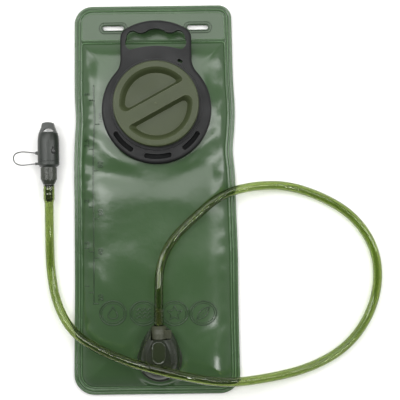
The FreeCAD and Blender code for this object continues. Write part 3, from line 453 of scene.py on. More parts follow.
# Width of the moulded round on each hard part's edges, in millimetres
EDGE_ROUNDS = {
    "handle_ring": 0.6, "screw_cap": 0.55, "connector_housing": 0.5, "release_button": 0.3,
    "hose_plug": 0.35, "twist_collar": 0.3, "dust_cover": 0.4, "tether_ring": 0.3,
    "connector_base_ring": 0.25, "neck_collar": 0.35, "outlet_flange": 0.2,
}
for node, width in EDGE_ROUNDS.items():
    weld = nodes[node].modifiers.new("weld", "WELD")
    weld.merge_threshold = 0.004 * MM
    flat = nodes[node].modifiers.new("flat", "DECIMATE")
    flat.decimate_type = "DISSOLVE"
    flat.angle_limit = math.radians(0.05)
    bevel = nodes[node].modifiers.new("bevel", "BEVEL")
    bevel.width = width * MM
    bevel.segments = 3
    bevel.limit_method = "ANGLE"
    bevel.angle_limit = math.radians(38)
    bevel.use_clamp_overlap = True
    even = nodes[node].modifiers.new("even", "WEIGHTED_NORMAL")
    even.mode = "FACE_AREA"
    even.weight = 100
    even.keep_sharp = False


# ---------------------------------------------------------------- drinking hose
RIB_PITCH = 2.9
RIB_HIGH = 0.17
# Height of the swelling and length of the barb, at the plug's end and at the valve's
PLUG_SWELL, PLUG_BARB = 0.3, 15.5
VALVE_SWELL, VALVE_BARB = 1.15, 16.5


def distance_along(path):
    """Distance of each point from the first one, along the path."""
    return np.r_[0, np.cumsum(np.linalg.norm(np.diff(path, axis=0), axis=1))]


def hose_radius(path):
    """Outside radius along the hose, which swells over the barbs at its two ends."""
    run = distance_along(path)
    left = run[-1] - run
    radius = np.full(len(path), HOSE_OUTER)
    for distance, crest, reach in ((run, PLUG_SWELL, PLUG_BARB), (left, VALVE_SWELL, VALVE_BARB)):
        swell = crest * smoothstep((reach + 3.0 - distance) / 6.0)
        wave = RIB_HIGH * np.cos(distance * 2 * math.pi / RIB_PITCH)
        radius = radius + swell + wave * smoothstep((reach - distance) / 2.0)
    return radius


radii = hose_radius(hose_path)
verts, faces = tube_mesh(hose_path, radii, radii - (HOSE_OUTER - HOSE_INNER), 32)
hose = dress(add_mesh("hose_tube", verts, faces), "hose", "hose", hose_vinyl, "drinking_hose")

# Ribs of the valve stem's barb, which show through the hose
BARB_LENGTH = 16.8
BARB_MIDDLE, BARB_WAVE, BARB_BORE = 3.95, 0.3, 3.55
run_left = np.linalg.norm(np.diff(hose_path, axis=0), axis=1)[::-1].cumsum()[::-1]
on_barb = run_left < BARB_LENGTH
barb_line = hose_path[:-1][on_barb]
barb_radius = BARB_MIDDLE + BARB_WAVE * np.cos(run_left[on_barb] * 2 * math.pi / RIB_PITCH)
verts, faces = tube_mesh(barb_line, barb_radius, np.full(len(barb_line), BARB_BORE), 28)
dress(add_mesh("valve_barb_ribs", verts, faces), "hose", "valve", valve_plastic)


# ---------------------------------------------------------------- floor and light
FLOOR_HALF, FLOOR_Z = 3000, -0.2
floor = add_mesh("floor", [(sx * FLOOR_HALF, sy * FLOOR_HALF, FLOOR_Z)
                           for sx, sy in ((-1, -1), (1, -1), (1, 1), (-1, 1))], [(0, 1, 2, 3)])
floor_paint = Surface("floor", linear(246, 246, 244), 0.75).mottle(3, 0.995, 1.0).material
floor.data.materials.append(floor_paint)

world = bpy.data.worlds.new("studio")
world.use_nodes = True
sky = world.node_tree
backdrop = sky.nodes["Background"]
backdrop.inputs["Color"].default_value = (1, 1, 1, 1)
way = sky.nodes.new("ShaderNodeTexCoord")
parts = sky.nodes.new("ShaderNodeSeparateXYZ")
sky.links.new(way.outputs["Generated"], parts.inputs[0])
# Dimmer towards the top, and brighter beyond the handle than behind the connector
rise = map_range(sky, {"From Min": 0.25, "From Max": 0.95, "To Min": 0.66, "To Max": 0.14},
                 parts.outputs["Z"])
lean = map_range(sky, {"From Min": -1.0, "From Max": 1.0, "To Min": 0.45, "To Max": 1.55},
                 parts.outputs["Y"])
both = sky.nodes.new("ShaderNodeMath")
both.operation = "MULTIPLY"
sky.links.new(rise, both.inputs[0])
sky.links.new(lean, both.inputs[1])
sky.links.new(both.outputs["Value"], backdrop.inputs["Strength"])
bpy.context.scene.world = world


def softbox(name, place, aim, width, height, power):
    """A rectangular lamp at place that faces aim, in metres and watts, and that no camera sees."""
    light = bpy.data.lights.new(name, "AREA")
    light.shape = "RECTANGLE"
    light.size = width
    light.size_y = height
    light.energy = power
    made = bpy.data.objects.new(name, light)
    made.location = place
    made.rotation_euler = (Vector(aim) - Vector(place)).to_track_quat("-Z", "Y").to_euler()
    made.visible_camera = False
    bpy.context.scene.collection.objects.link(made)


softbox("overhead", (-0.06, 0.405, 1.05), (0.0, 0.0, 0.0), 1.1, 0.80, 8.4)
softbox("key_right", (0.74, 0.10, 0.80), (0.05, 0.0, 0.0), 0.22, 0.9, 4.0)
softbox("fill_left", (-0.64, 0.16, 0.80), (0.0, 0.0, 0.0), 0.24, 0.9, 3.8)
softbox("low_right", (0.46, -0.46, 0.90), (0.05, -0.05, 0.0), 0.15, 0.15, 1.3)

bpy.context.scene.view_settings.view_transform = "Standard"


# ---------------------------------------------------------------- film
SEAM = 3.5  # height at which the two films meet
FILM_THICK = 0.5
HALF_LOW, HALF_HIGH = 90.0, 84.5  # half the bag's width at its lower and upper end
BAG_HALF = 210.0
CORNER_LOW, CORNER_HIGH = 22.0, 14.0
CORNER_HIGH_LEFT = 19.0
WELD_IN = 7.4  # from the outline to the water chamber
CROSS_Y = 172.0  # the weld below the hang slots
RISE = 11.0  # of the front film over the seam
NECK = (3.5, 101.0)
NECK_HOLE = 38.0
OUTLET = (3.5, -170.5)
OUTLET_HOLE = 5.5


def half_width(y):
    """Half the bag's width at y."""
    return HALF_LOW + (HALF_HIGH - HALF_LOW) * (y + BAG_HALF) / (2 * BAG_HALF)


def corner_distance(dx, dy, radius):
    """Distance inside a rounded corner from the distances inside its two sides."""
    inside = np.minimum(dx, dy)
    rounded = radius - np.hypot(radius - dx, radius - dy)
    return np.where((dx < radius) & (dy < radius), rounded, inside)


def inset(x, y):
    """Distance inside the bag's outline."""
    dx = half_width(y) - np.abs(x)
    high = corner_distance(dx, BAG_HALF - y, np.where(x < 0, CORNER_HIGH_LEFT, CORNER_HIGH))
    low = corner_distance(dx, BAG_HALF + y, CORNER_LOW)
    return np.minimum(high, low)


def chamber_inset(x, y):
    """Distance inside the weld round the water chamber."""
    dx = half_width(y) - WELD_IN - np.abs(x)
    high = corner_distance(dx, CROSS_Y - 1.2 - y, 4.0)
    low = corner_distance(dx, BAG_HALF - WELD_IN + y, 15.0)
    return np.minimum(high, low)


def bump_at(value, centre, width):
    """A smooth hump of height 1."""
    return np.exp(-(((value - centre) / width) ** 2))


# Soft folds of the front film: centre x and y, half length and half width, angle in degrees, height
FOLDS = [
    (-52, 28, 34, 11, -12, -1.5), (52, 36, 44, 12, 24, -1.6), (0, 44, 40, 9, 4, 0.9),
    (-42, 48, 26, 7, -34, 1.1), (48, 56, 26, 7, 38, 1.2), (-62, 130, 20, 9, 60, 0.8),
    (66, 96, 26, 9, -62, 1.1), (70, 130, 20, 8, 70, -0.9), (-60, 150, 22, 8, -22, -0.8),
    (62, 152, 18, 8, 24, 0.7), (-20, 2, 62, 20, 3, 0.7), (34, -6, 40, 12, -20, 0.5),
    (-44, -46, 40, 12, 18, -0.35), (-10, -76, 30, 12, -40, 0.7), (52, -66, 28, 16, 30, 0.9),
    (28, -98, 30, 8, 70, -0.7), (-56, -88, 24, 9, -50, 0.6), (56, -142, 26, 8, 32, -0.9),
    (62, -168, 24, 11, -24, 0.5), (-52, -166, 34, 10, 12, -0.8), (-30, -190, 34, 6, 4, 0.5),
    (40, -192, 30, 6, -6, 0.5), (28, -150, 20, 6, -54, 0.6), (-26, -146, 18, 6, 52, 0.6),
    (-64, 66, 14, 6, -10, 0.7), (70, 10, 12, 10, 80, 0.6), (-2, -118, 40, 9, 2, 0.4),
    (0, 158, 36, 5, 0, 0.5),
]


def folds(x, y):
    """Height that the folds add at x, y."""
    total = np.zeros_like(x)
    for cx, cy, long, wide, turn, height in FOLDS:
        c, s = math.cos(math.radians(turn)), math.sin(math.radians(turn))
        along = ((x - cx) * c + (y - cy) * s) / long
        across = (-(x - cx) * s + (y - cy) * c) / wide
        total += height * np.exp(-along ** 2 - across ** 2)
    return total


PUCKER_PITCH = 21.0
PUCKER_LEFT, PUCKER_RIGHT = 0.6, 0.26


def puckers(x, y, depth_in):
    """Short creases that run in from the side welds."""
    side = np.sign(x)
    phase = y * 2 * math.pi / PUCKER_PITCH + 0.9 * np.sin(y / 37.0 + side) + side
    along_side = np.exp(-((depth_in - 6.0) / 7.0) ** 2)
    ends = smoothstep((CROSS_Y - 14 - y) / 12.0) * smoothstep((y + BAG_HALF - 26) / 12.0)
    strength = np.where(x > 0, PUCKER_RIGHT, PUCKER_LEFT) * (0.7 + 0.3 * np.sin(y / 13.0))
    return strength * np.sin(phase) * along_side * ends


def frame_beads(d):
    """Cross section of the weld round the edge: two beads and two grooves, at depth d inside it."""
    return (0.3 * bump_at(d, 1.8, 0.9) - 0.22 * bump_at(d, 3.3, 0.5)
            + 0.65 * bump_at(d, 4.9, 0.75) - 0.38 * bump_at(d, 6.4, 0.55))


def port_calm(x, y):
    """0 at the two ports, where the film is welded flat to their flanges, and 1 away from them."""
    neck = np.hypot(x - NECK[0], y - NECK[1])
    outlet = np.hypot(x - OUTLET[0], y - OUTLET[1])
    return smoothstep((neck - 50.0) / 14.0) * smoothstep((outlet - 25.0) / 8.0)


def front_base(x, y):
    """Top of the front film without its small relief."""
    depth_in = chamber_inset(x, y)
    swell = 1 - np.exp(-np.clip(depth_in, 0, None) / 11.0) * port_calm(x, y)
    ease = swell * smoothstep(np.clip(depth_in, 0, None) / 2.5)
    return SEAM + FILM_THICK + (RISE - 0.05) * ease


def front_top(x, y):
    """Top of the front film with its folds, puckers and welds."""
    depth_in = chamber_inset(x, y)
    d = inset(x, y)
    inside = smoothstep((depth_in - 1.0) / 9.0)
    relief = (folds(x, y) * inside + puckers(x, y, depth_in)) * port_calm(x, y)
    relief = np.where(depth_in > 0, relief, 0.0)
    high_strip = (y > CROSS_Y) & (d > 8)
    strip = 0.35 * np.sin(x / 13.0) * np.cos((y - CROSS_Y) / 9.0) * smoothstep((d - 8) / 5.0)
    cross = smoothstep((d - 6.6) / 1.5)
    welds = frame_beads(d)
    line = (0.6 * bump_at(y, CROSS_Y, 0.75) * cross
            - 0.2 * bump_at(y, CROSS_Y - 1.7, 0.45) * cross)
    return front_base(x, y) + relief + welds + line + np.where(high_strip, strip, 0.0)


def back_low(x, y):
    """Underside of the back film, which rests on the table inside its welds."""
    depth_in = chamber_inset(x, y)
    drop = smoothstep(np.clip(depth_in, 0, None) / 7.0)
    return (SEAM - FILM_THICK) * (1 - drop) + 0.02


EDGE_STEP = 0.42


def grid_lines():
    """Rows and columns of the film's grid, close together at the welds."""
    angle = np.radians(np.arange(0, 58, 4.0))
    top = BAG_HALF - CORNER_HIGH_LEFT * (1 - np.cos(angle))
    low = -BAG_HALF + CORNER_LOW * (1 - np.cos(angle))
    rows = np.concatenate([
        low, np.arange(low[-1] + 0.45, -BAG_HALF + 20, 0.9),
        np.arange(-BAG_HALF + 20, CROSS_Y - 4, 1.5), np.arange(CROSS_Y - 4, CROSS_Y + 3, 0.35),
        np.arange(CROSS_Y + 3, top[-1] - 0.3, 1.2), top,
    ])
    edge = np.arange(0, 10.0, EDGE_STEP)
    return np.unique(np.round(rows, 4)), edge


def row_reach(y, corner_high):
    """Distance of the bag's outline from its middle line at y, for a top corner's radius."""
    reach = half_width(y)
    for gap, radius in ((BAG_HALF - y, corner_high), (BAG_HALF + y, CORNER_LOW)):
        if gap < radius:
            rounded = math.sqrt(max(0.0, radius ** 2 - (radius - gap) ** 2))
            reach = half_width(y) - radius + rounded
    return reach


def sheet_grid():
    """x and y of every grid point of a film. Its rows end on the rounded outline."""
    rows, edge = grid_lines()
    middle = np.linspace(-1, 1, 108)
    inner = edge[-1] + EDGE_STEP
    xs, ys = [], []
    for y in rows:
        left, right = row_reach(y, CORNER_HIGH_LEFT), row_reach(y, CORNER_HIGH)
        between = (middle + 1) / 2 * (left + right - 2 * inner) - left + inner
        row = np.concatenate([-(left - edge), between, (right - edge)[::-1]])
        xs.append(row)
        ys.append(np.full(len(row), y))
    return np.array(xs), np.array(ys)


SLOT_CENTRE = (2.5, 186.5)
SLOT_PITCH = 91.5
SLOT_HALF = 11.5
SLOT_WIDE = 2.4
SLOTS = [(SLOT_CENTRE[0] + side * SLOT_PITCH / 2, SLOT_CENTRE[1]) for side in (-1, 1)]


def slot_distance(x, y, centre):
    """Distance outside a hang slot, negative in it."""
    along = np.maximum(np.abs(x - centre[0]) - (SLOT_HALF - SLOT_WIDE), 0)
    return np.hypot(along, y - centre[1]) - SLOT_WIDE


def wavy(verts):
    """Lets the side edges run a little in and out, as the welded film does."""
    verts = np.array(verts, float)
    x, y = verts[:, 0], verts[:, 1]
    right = (1.3 * bump_at(y, 98.0, 22.0) - 1.9 * bump_at(y, 52.0, 17.0)
             + 0.8 * bump_at(y, -60.0, 40.0))
    left = (1.2 * bump_at(y, 88.0, 18.0) - 0.5 * bump_at(y, 30.0, 26.0)
            + 0.5 * bump_at(y, -90.0, 40.0))
    verts[:, 0] += right * smoothstep((x - 25) / 50) + left * smoothstep((-x - 25) / 50)
    return verts


def circle_hole(centre, radius):
    """A function that gives the distance outside a round hole."""
    return lambda x, y: np.hypot(x - centre[0], y - centre[1]) - radius


def slot_hole(centre):
    """A function that gives the distance outside a hang slot."""
    return lambda x, y: slot_distance(x, y, centre)


def punch(x, y, holes, reach=0.8):
    """Moves the grid points next to a hole onto its edge, and says which points are in one."""
    x, y = x.copy(), y.copy()
    inside = np.zeros(x.shape, bool)
    step = 0.01
    for hole in holes:
        gap = hole(x, y)
        near = np.abs(gap) < reach
        slope_x = (hole(x + step, y) - hole(x - step, y)) / (2 * step)
        slope_y = (hole(x, y + step) - hole(x, y - step)) / (2 * step)
        x = np.where(near, x - gap * slope_x, x)
        y = np.where(near, y - gap * slope_y, y)
        inside |= (gap < 0) & ~near
    return x, y, inside


def shell(name, x, y, high, low, inside):
    """A closed sheet between two heights over one grid, without the points that are in a hole."""
    n_rows, n_cols = x.shape
    count = n_rows * n_cols
    index = np.arange(count).reshape(n_rows, n_cols)
    corners = [index[:-1, :-1], index[:-1, 1:], index[1:, 1:], index[1:, :-1]]
    quads = np.stack(corners, -1).reshape(-1, 4)
    gone = inside.ravel()
    lost = gone[quads].sum(1)
    tops = quads[lost == 0].tolist()
    tops += [[v for v in q if not gone[v]] for q in quads[lost == 1].tolist()]
    edges = {}  # in order, with no value
    for face in tops:
        for a, b in zip(face, face[1:] + face[:1]):
            edges[(a, b)] = None
    faces = tops + [[v + count for v in face[::-1]] for face in tops]
    faces += [[b, a, a + count, b + count] for a, b in edges if (b, a) not in edges]
    verts = np.concatenate([
        np.stack([x, y, high], -1).reshape(-1, 3), np.stack([x, y, low], -1).reshape(-1, 3)])
    used = np.unique(np.concatenate([np.array(f) for f in faces]))
    renumber = np.full(len(verts), -1)
    renumber[used] = np.arange(len(used))
    return add_mesh(name, wavy(verts[used]), [[renumber[v] for v in f] for f in faces])


def slope_factor(height, x, y):
    """How much thicker a film of even thickness is, measured upright, where it slopes."""
    step = 0.2
    fx = (height(x + step, y) - height(x - step, y)) / (2 * step)
    fy = (height(x, y + step) - height(x, y - step)) / (2 * step)
    return np.sqrt(1 + np.clip(fx ** 2 + fy ** 2, 0, 6))


FILM_GAP = 0.01  # from the seam's height to each film
FILM_LEAST = 0.3  # thickness in the grooves of the welds
grid_x, grid_y = sheet_grid()
slot_holes = [slot_hole(centre) for centre in SLOTS]
port_holes = [circle_hole(NECK, NECK_HOLE), circle_hole(OUTLET, OUTLET_HOLE)]
x, y, inside = punch(grid_x, grid_y, slot_holes + port_holes)
top_z = front_top(x, y)
under_z = (front_top(x, y) - frame_beads(inset(x, y))
           - FILM_THICK * slope_factor(front_base, x, y))
under_z = np.minimum(np.maximum(under_z, SEAM + FILM_GAP), top_z - FILM_LEAST)
front = shell("front_film", x, y, top_z, under_z, inside)
x, y, inside = punch(grid_x, grid_y, slot_holes)
low_z = back_low(x, y)
back_high = np.minimum(low_z + FILM_THICK * slope_factor(back_low, x, y), SEAM - FILM_GAP)
back = shell("back_film", x, y, back_high, low_z - 0.6 * frame_beads(inset(x, y)), inside)
dress(front, "root", "film", film, "front_sheet")
dress(back, "root", "film", film, "back_sheet")


# ---------------------------------------------------------------- relief on the film
class Relief:
    """Fine raised lines and figures that lie on the front film, gathered into one piece."""

    # Cross section of a bead: shares of its width and of its height
    PROFILE = [(-0.5, -0.3), (-0.42, 0.4), (-0.2, 0.9), (0, 1), (0.2, 0.9), (0.42, 0.4),
               (0.5, -0.3)]

    def __init__(self):
        self.verts = []
        self.faces = []

    def add(self, verts, faces):
        """Takes in a mesh of its own."""
        base = len(self.verts)
        self.verts += [tuple(v) for v in verts]
        self.faces += [[base + k for k in f] for f in faces]

    def line(self, points, width, height, closed=False):
        """A rounded bead along points in the plane of the film."""
        points = np.asarray(points, float)
        if closed:
            ahead = np.roll(points, -1, axis=0) - np.roll(points, 1, axis=0)
        else:
            ahead = np.gradient(points, axis=0)
        ahead /= np.linalg.norm(ahead, axis=1)[:, None]
        across = np.stack([-ahead[:, 1], ahead[:, 0]], -1)
        n, m = len(points), len(self.PROFILE)
        verts = []
        for p, q in zip(points, across):
            for offset, rise in self.PROFILE:
                place = p + q * offset * width
                verts.append((place[0], place[1], rise * height))
        verts = np.array(verts)
        verts[:, 2] += front_top(verts[:, 0], verts[:, 1])
        faces = []
        for i in range(n if closed else n - 1):
            j = (i + 1) % n
            for k in range(m):
                l = (k + 1) % m
                faces.append([i * m + l, i * m + k, j * m + k, j * m + l])
        if not closed:
            faces.append([k for k in range(m)])
            faces.append([(n - 1) * m + k for k in range(m)][::-1])
        self.add(verts, faces)

    def figure(self, text, x, y, size, height):
        """Raised figures centred on a point, read from below upwards."""
        curve = bpy.data.curves.new("figure", "FONT")
        curve.body = text
        curve.size = size
        curve.align_x = "CENTER"
        curve.align_y = "CENTER"
        curve.extrude = height
        curve.bevel_depth = 0.12
        curve.resolution_u = 3
        mesh = mesh_of_curve(curve)
        joined = bmesh.new()
        joined.from_mesh(mesh)
        bmesh.ops.remove_doubles(joined, verts=joined.verts, dist=0.0001)
        verts = np.array([(x - v.co.y, y + v.co.x, v.co.z) for v in joined.verts])
        verts[:, 2] += front_top(verts[:, 0], verts[:, 1])
        self.add(verts, [[v.index for v in f.verts] for f in joined.faces])
        joined.free()
        bpy.data.meshes.remove(mesh)

    def piece(self, name):
        """The mesh object of everything gathered, with the same wavy sides as the film."""
        return add_mesh(name, wavy(self.verts), self.faces)


def ellipse(cx, cy, rx, ry, count=72):
    """Outline of an ellipse."""
    turn = np.linspace(0, 2 * math.pi, count, endpoint=False)
    return np.stack([cx + rx * np.cos(turn), cy + ry * np.sin(turn)], -1)


def stadium(cx, cy, half, wide, count=16):
    """Outline of a slot shape along X."""
    turn = np.linspace(-math.pi / 2, math.pi / 2, count)
    straight = half - wide
    right = np.stack([cx + straight + wide * np.cos(turn), cy + wide * np.sin(turn)], -1)
    left = np.stack([cx - straight - wide * np.cos(turn), cy - wide * np.sin(turn)], -1)
    return np.concatenate([right, left])


LINE_WIDE = 1.7
LINE_HIGH = 0.5
relief = Relief()
for centre in SLOTS:
    relief.line(stadium(*centre, SLOT_HALF + 1.1, SLOT_WIDE + 1.1), 1.5, 0.7, closed=True)
    relief.line(stadium(*centre, SLOT_HALF + 3.6, SLOT_WIDE + 3.4), 1.1, 0.5, closed=True)
SCALE_TOP = np.array((-64.2, 123.9))
SCALE_LOW = np.array((-67.1, -111.4))
SCALE_STEPS = 160
relief.line([SCALE_TOP + (SCALE_LOW - SCALE_TOP) * k / SCALE_STEPS for k in range(SCALE_STEPS + 1)],
            LINE_WIDE, LINE_HIGH)


def scale_x(y):
    """Where the scale's line is at y."""
    return (SCALE_TOP[0] + (SCALE_LOW[0] - SCALE_TOP[0])
            * (SCALE_TOP[1] - y) / (SCALE_TOP[1] - SCALE_LOW[1]))


# Figures of the scale and the heights of their middles. A short tick is TICK_BELOW each of them.
LITRE_MARKS = [("3", 114.4), ("2.5", 62.0), ("2", -0.2), ("1.5", -48.2), ("1", -92.0)]
OUNCE_MARKS = [("100", 88.5), ("80", 38.8), ("60", -12.7), ("40", -54.8), ("20", -104.0)]
TICK_BELOW = 6.5
TICK_REACH = np.linspace(0.3, 5.4, 6)
FIGURE_SIZE = 7.6
MARK_HIGH = 0.6
for side, marks, away in ((-1, LITRE_MARKS, 7.6), (1, OUNCE_MARKS, 7.8)):
    for text, level in marks:
        foot = scale_x(level)
        relief.line([(foot + side * t, level - TICK_BELOW) for t in TICK_REACH], 1.2, MARK_HIGH)
        relief.figure(text, foot + side * away, level, FIGURE_SIZE, MARK_HIGH)

MEDALLIONS = [(-46.3, -120.5), (-13.4, -121.0), (19.8, -121.4), (50.5, -121.7)]
MEDALLION_X, MEDALLION_Y = 14.3, 12.9
for cx, cy in MEDALLIONS:
    relief.line(ellipse(cx, cy, MEDALLION_X, MEDALLION_Y), 1.4, 1.1, closed=True)
    relief.line(ellipse(cx, cy, MEDALLION_X - 2.3, MEDALLION_Y - 2.3), 0.9, 0.6, closed=True)

# In them a drop, three waves, a star and a leaf, drawn as beads of one width and height
MOTIF_WIDE, MOTIF_HIGH = 1.25, 1.0
cx, cy = MEDALLIONS[0]
turn = np.linspace(0, 2 * math.pi, 48, endpoint=False)
drop_wide = 5.0 * np.sin(turn) * (1 - np.cos(turn)) / 1.3
relief.line(np.stack([cx + drop_wide, cy + 6.8 * np.cos(turn) + 0.6], -1),
            MOTIF_WIDE, MOTIF_HIGH, closed=True)
cx, cy = MEDALLIONS[1]
for rise in (-4.2, 0.0, 4.2):
    along = np.linspace(-8.2, 8.2, 40)
    relief.line(np.stack([cx + along, cy + rise + 1.4 * np.sin(along * 1.15)], -1),
                MOTIF_WIDE, MOTIF_HIGH)
cx, cy = MEDALLIONS[2]
spikes = np.linspace(0, 2 * math.pi, 10, endpoint=False) + math.pi / 2
reach = np.where(np.arange(10) % 2 == 0, 8.2, 3.7)
corners = np.stack([cx + reach * np.cos(spikes), cy + reach * np.sin(spikes)], -1)
star = [a + (b - a) * k / 5
        for a, b in zip(corners, np.roll(corners, -1, axis=0)) for k in range(5)]
relief.line(star, MOTIF_WIDE, MOTIF_HIGH, closed=True)
cx, cy = MEDALLIONS[3]
along = np.linspace(-1, 1, 30)
for side in (-1, 1):
    bulge = side * 4.6 * (1 - along ** 2)
    relief.line(np.stack([cx + 6.4 * along + bulge * 0.6, cy + 6.4 * along - bulge * 0.6], -1),
                MOTIF_WIDE, MOTIF_HIGH)
relief.line(np.stack([cx + 7.6 * along, cy + 7.6 * along], -1), 0.8, 0.55)
# The relief's darker colour is painted shade along its raised lines.
dress(relief.piece("film_relief"), "root", "film", film_relief_shade)


def frame_loop(depth, low, high, low_corner, left_corner, right_corner, spacing=1.5):
    """A rounded frame at depth inside the side edges, between two heights."""
    loop = []
    corners = [(1, high, right_corner, 0), (-1, high, left_corner, 90),
               (-1, low, low_corner, 180), (1, low, low_corner, 270)]
    for side, level, corner, start in corners:
        centre_y = level + (corner if level == low else -corner)
        centre_x = side * (half_width(centre_y) - depth - corner)
        for turn in np.radians(np.linspace(start, start + 90, 12)):
            loop.append((centre_x + corner * math.cos(turn), centre_y + corner * math.sin(turn)))
    points = []
    for a, b in zip(loop, loop[1:] + loop[:1]):
        steps = max(1, int(math.dist(a, b) / spacing))
        points += [(a[0] + (b[0] - a[0]) * k / steps, a[1] + (b[1] - a[1]) * k / steps)
                   for k in range(steps)]
    return points


# Depth inside the edge, lower and upper end, three corner radii, then the bead's width and height
WELD_LINES = [
    (4.9, -BAG_HALF + 4.9, BAG_HALF - 4.9, 17.0, 14.0, 9.0, 1.2, 0.45),
    (1.1, -BAG_HALF + 1.1, BAG_HALF - 1.1, 20.8, 17.8, 12.8, 0.9, 0.4),
    (7.7, CROSS_Y + 1.4, BAG_HALF - 7.7, 2.5, 10.0, 7.5, 0.9, 0.45),
    (7.7, -BAG_HALF + 7.7, CROSS_Y - 1.4, 14.5, 3.0, 3.0, 0.9, 0.45),
]
# The weld beads' paler colour is a painted highlight on their ridges.
welds = Relief()
for *loop, width, height in WELD_LINES:
    welds.line(frame_loop(*loop), width, height, closed=True)
dress(welds.piece("weld_lines"), "root", "film", film_weld_highlight)


# ---------------------------------------------------------------- small mouldings
def ringed_cap(name, outline, steps, body, slot, material):
    """A closed moulding whose outline(inset) runs at each of the (inset, height) steps."""
    n = len(outline(0.0))
    loops = [np.column_stack([outline(inset), np.full(n, z)]) for inset, z in steps]
    verts = np.concatenate(loops)
    faces = [list(range(n))[::-1]]
    for i in range(len(loops) - 1):
        for k in range(n):
            m = (k + 1) % n
            faces.append([i * n + k, i * n + m, (i + 1) * n + m, (i + 1) * n + k])
    faces.append([(len(loops) - 1) * n + k for k in range(n)])
    return dress(add_mesh(name, verts, faces), body, slot, material)


BUTTON = (3.5, -159.5)
BUTTON_HALF, BUTTON_REACH = 7.5, 11.9


def button_outline(inset):
    """Outline of the release button's oval face."""
    flat = stadium(0, 0, BUTTON_REACH - inset, BUTTON_HALF - inset, 28)
    return np.stack([BUTTON[0] - flat[:, 1], BUTTON[1] + flat[:, 0]], -1)


# A low rim and a face that bulges a little. It stays under the hose when the plug is pulled out.
CROWN_FLAT = 39.22
CROWN_HALF = 5.8
CROWN_BULGE = 0.26
crown_rim = [(0.05, 38.9), (0.05, 39.28), (0.25, 39.44), (0.6, 39.5), (0.95, 39.44), (1.2, 39.32)]
crown_face = [(inset, CROWN_FLAT) for inset in (1.5, 1.7, 2.1, 2.8, 3.6, 4.5, 5.4, 6.2, 6.9)]
crown = ringed_cap("button_crown", button_outline, crown_rim + crown_face,
                   "button", "button", button_plastic)
for vert in crown.data.vertices:
    across = (vert.co.x / MM - BUTTON[0]) / CROWN_HALF
    along = (vert.co.y / MM - BUTTON[1]) / (BUTTON_REACH - 1.6)
    if abs(vert.co.z / MM - CROWN_FLAT) < 0.01:
        vert.co.z += CROWN_BULGE * MM * max(0.0, 1 - across ** 2) * (1 - abs(along) ** 6)


# The pockets of the handle ring lie round a centre that is below the neck's
POCKET_DROP = 4.5
POCKET_INNER, POCKET_OUTER = 47.7, 53.5
POCKET_LOW, POCKET_HIGH = 19.0, 19.6


def pocket_shade_sheet(name, middle, half):
    """A matt dark sheet of painted shade on the floor of a pocket that spans half to each side of
    middle, in degrees.
    """
    turns = np.radians(np.linspace(middle - half, middle + half, 40))
    rim = [(NECK[0] + r * math.cos(t), NECK[1] - POCKET_DROP + r * math.sin(t))
           for r, order in ((POCKET_OUTER, turns), (POCKET_INNER, turns[::-1])) for t in order]
    n = len(rim)
    verts = [(px, py, z) for z in (POCKET_HIGH, POCKET_LOW) for px, py in rim]
    faces = [[k, k + 1, n - 2 - k, n - 1 - k] for k in range(n // 2 - 1)]
    faces += [[n + k for k in reversed(face)] for face in faces]
    faces += [[k, n + k, n + (k + 1) % n, (k + 1) % n] for k in range(n)]
    return dress(add_mesh(name, verts, faces, smooth=False), "root", "handle", pocket_shade)


# Painted shade: dark sheets on the floors of the handle ring's pockets.
pocket_shade_sheet("pocket_floor_left", 224, 14.6)
pocket_shade_sheet("pocket_floor_low", 271, 15.6)
pocket_shade_sheet("pocket_floor_right", 317, 13.1)


GATE_RADIUS = 1.5


def gate_outline(inset):
    """Outline of the moulding mark in the middle of the cap."""
    return ellipse(NECK[0], NECK[1], GATE_RADIUS - inset, GATE_RADIUS - inset, 28)


gate_steps = [(0.0, 36.4), (0.0, 36.75), (0.15, 36.85), (0.4, 36.85), (0.6, 36.7), (0.95, 36.7),
              (1.1, 36.95), (1.35, 37.0)]
ringed_cap("cap_gate_mark", gate_outline, gate_steps, "cap", "cap", cap_plastic)
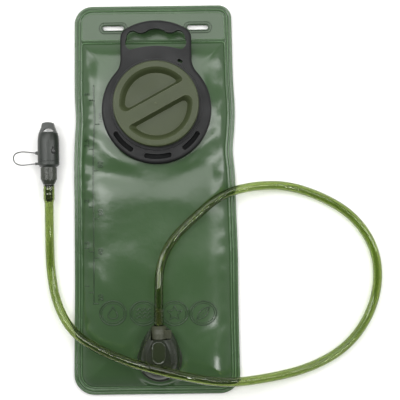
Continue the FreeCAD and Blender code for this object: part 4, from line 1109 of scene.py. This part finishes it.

# The moulded drop on the dust cover, which lies on its round side. Its dark colour is painted shade
# of the dimple.
COVER_AXIS = (-113.5, 12.0)
COVER_RADIUS = 11.5
DROP_Y = 54.5
DROP_TURN = math.radians(36)


def cover_drop():
    """A drop-shaped dimple with a raised rim, wrapped on the cover's round side, and darkened with
    painted shade.
    """
    steps = [(1.0, -0.3), (1.0, 0.25), (0.92, 0.4), (0.82, 0.3), (0.7, 0.08), (0.4, -0.02),
             (0.12, 0.06)]
    turn = np.linspace(0, 2 * math.pi, 40, endpoint=False)
    wide = 2.3 * np.sin(turn) * (1 - 0.55 * np.cos(turn))
    long = 4.1 * np.cos(turn)
    verts = []
    for share, rise in steps:
        angle = DROP_TURN + share * wide / COVER_RADIUS
        radius = COVER_RADIUS + rise
        verts.append(np.stack([COVER_AXIS[0] + radius * np.sin(angle), DROP_Y + share * long,
                               COVER_AXIS[1] + radius * np.cos(angle)], -1))
    n = len(turn)
    faces = [list(range(n))]
    for i in range(len(steps) - 1):
        for k in range(n):
            m = (k + 1) % n
            faces.append([i * n + m, i * n + k, (i + 1) * n + k, (i + 1) * n + m])
    faces.append([(len(steps) - 1) * n + k for k in range(n)][::-1])
    mesh = add_mesh("cover_drop", np.concatenate(verts), faces)
    return dress(mesh, "cover", "cover", dimple_shade_plastic)


cover_drop()


# ---------------------------------------------------------------- cover tether
tether_path = spline_points([
    (-123.6, 51.8, 12.0), (-128.6, 51.9, 12.0), (-135.6, 53.1, 11.6), (-145.0, 53.6, 10.6),
    (-151.6, 50.6, 9.4), (-151.9, 43.2, 9.2), (-146.0, 39.0, 10.2), (-137.0, 39.3, 11.6),
    (-129.4, 40.3, 12.0), (-123.6, 40.4, 12.0)], 16)
run = distance_along(tether_path)
root = np.minimum(run, run[-1] - run)
# Thicker at its two roots, and a little in the middle of its bow
tether_radius = (0.5 + 0.75 * np.exp(-((root / 3.0) ** 2))
                 + 0.12 * np.exp(-((root - 24.0) / 9.0) ** 2))
verts, faces = tube_mesh(tether_path, tether_radius, None, 20)
tether = dress(add_mesh("tether_loop", verts, faces), None, "tether", tether_rubber, "cover_tether")
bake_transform(tether)
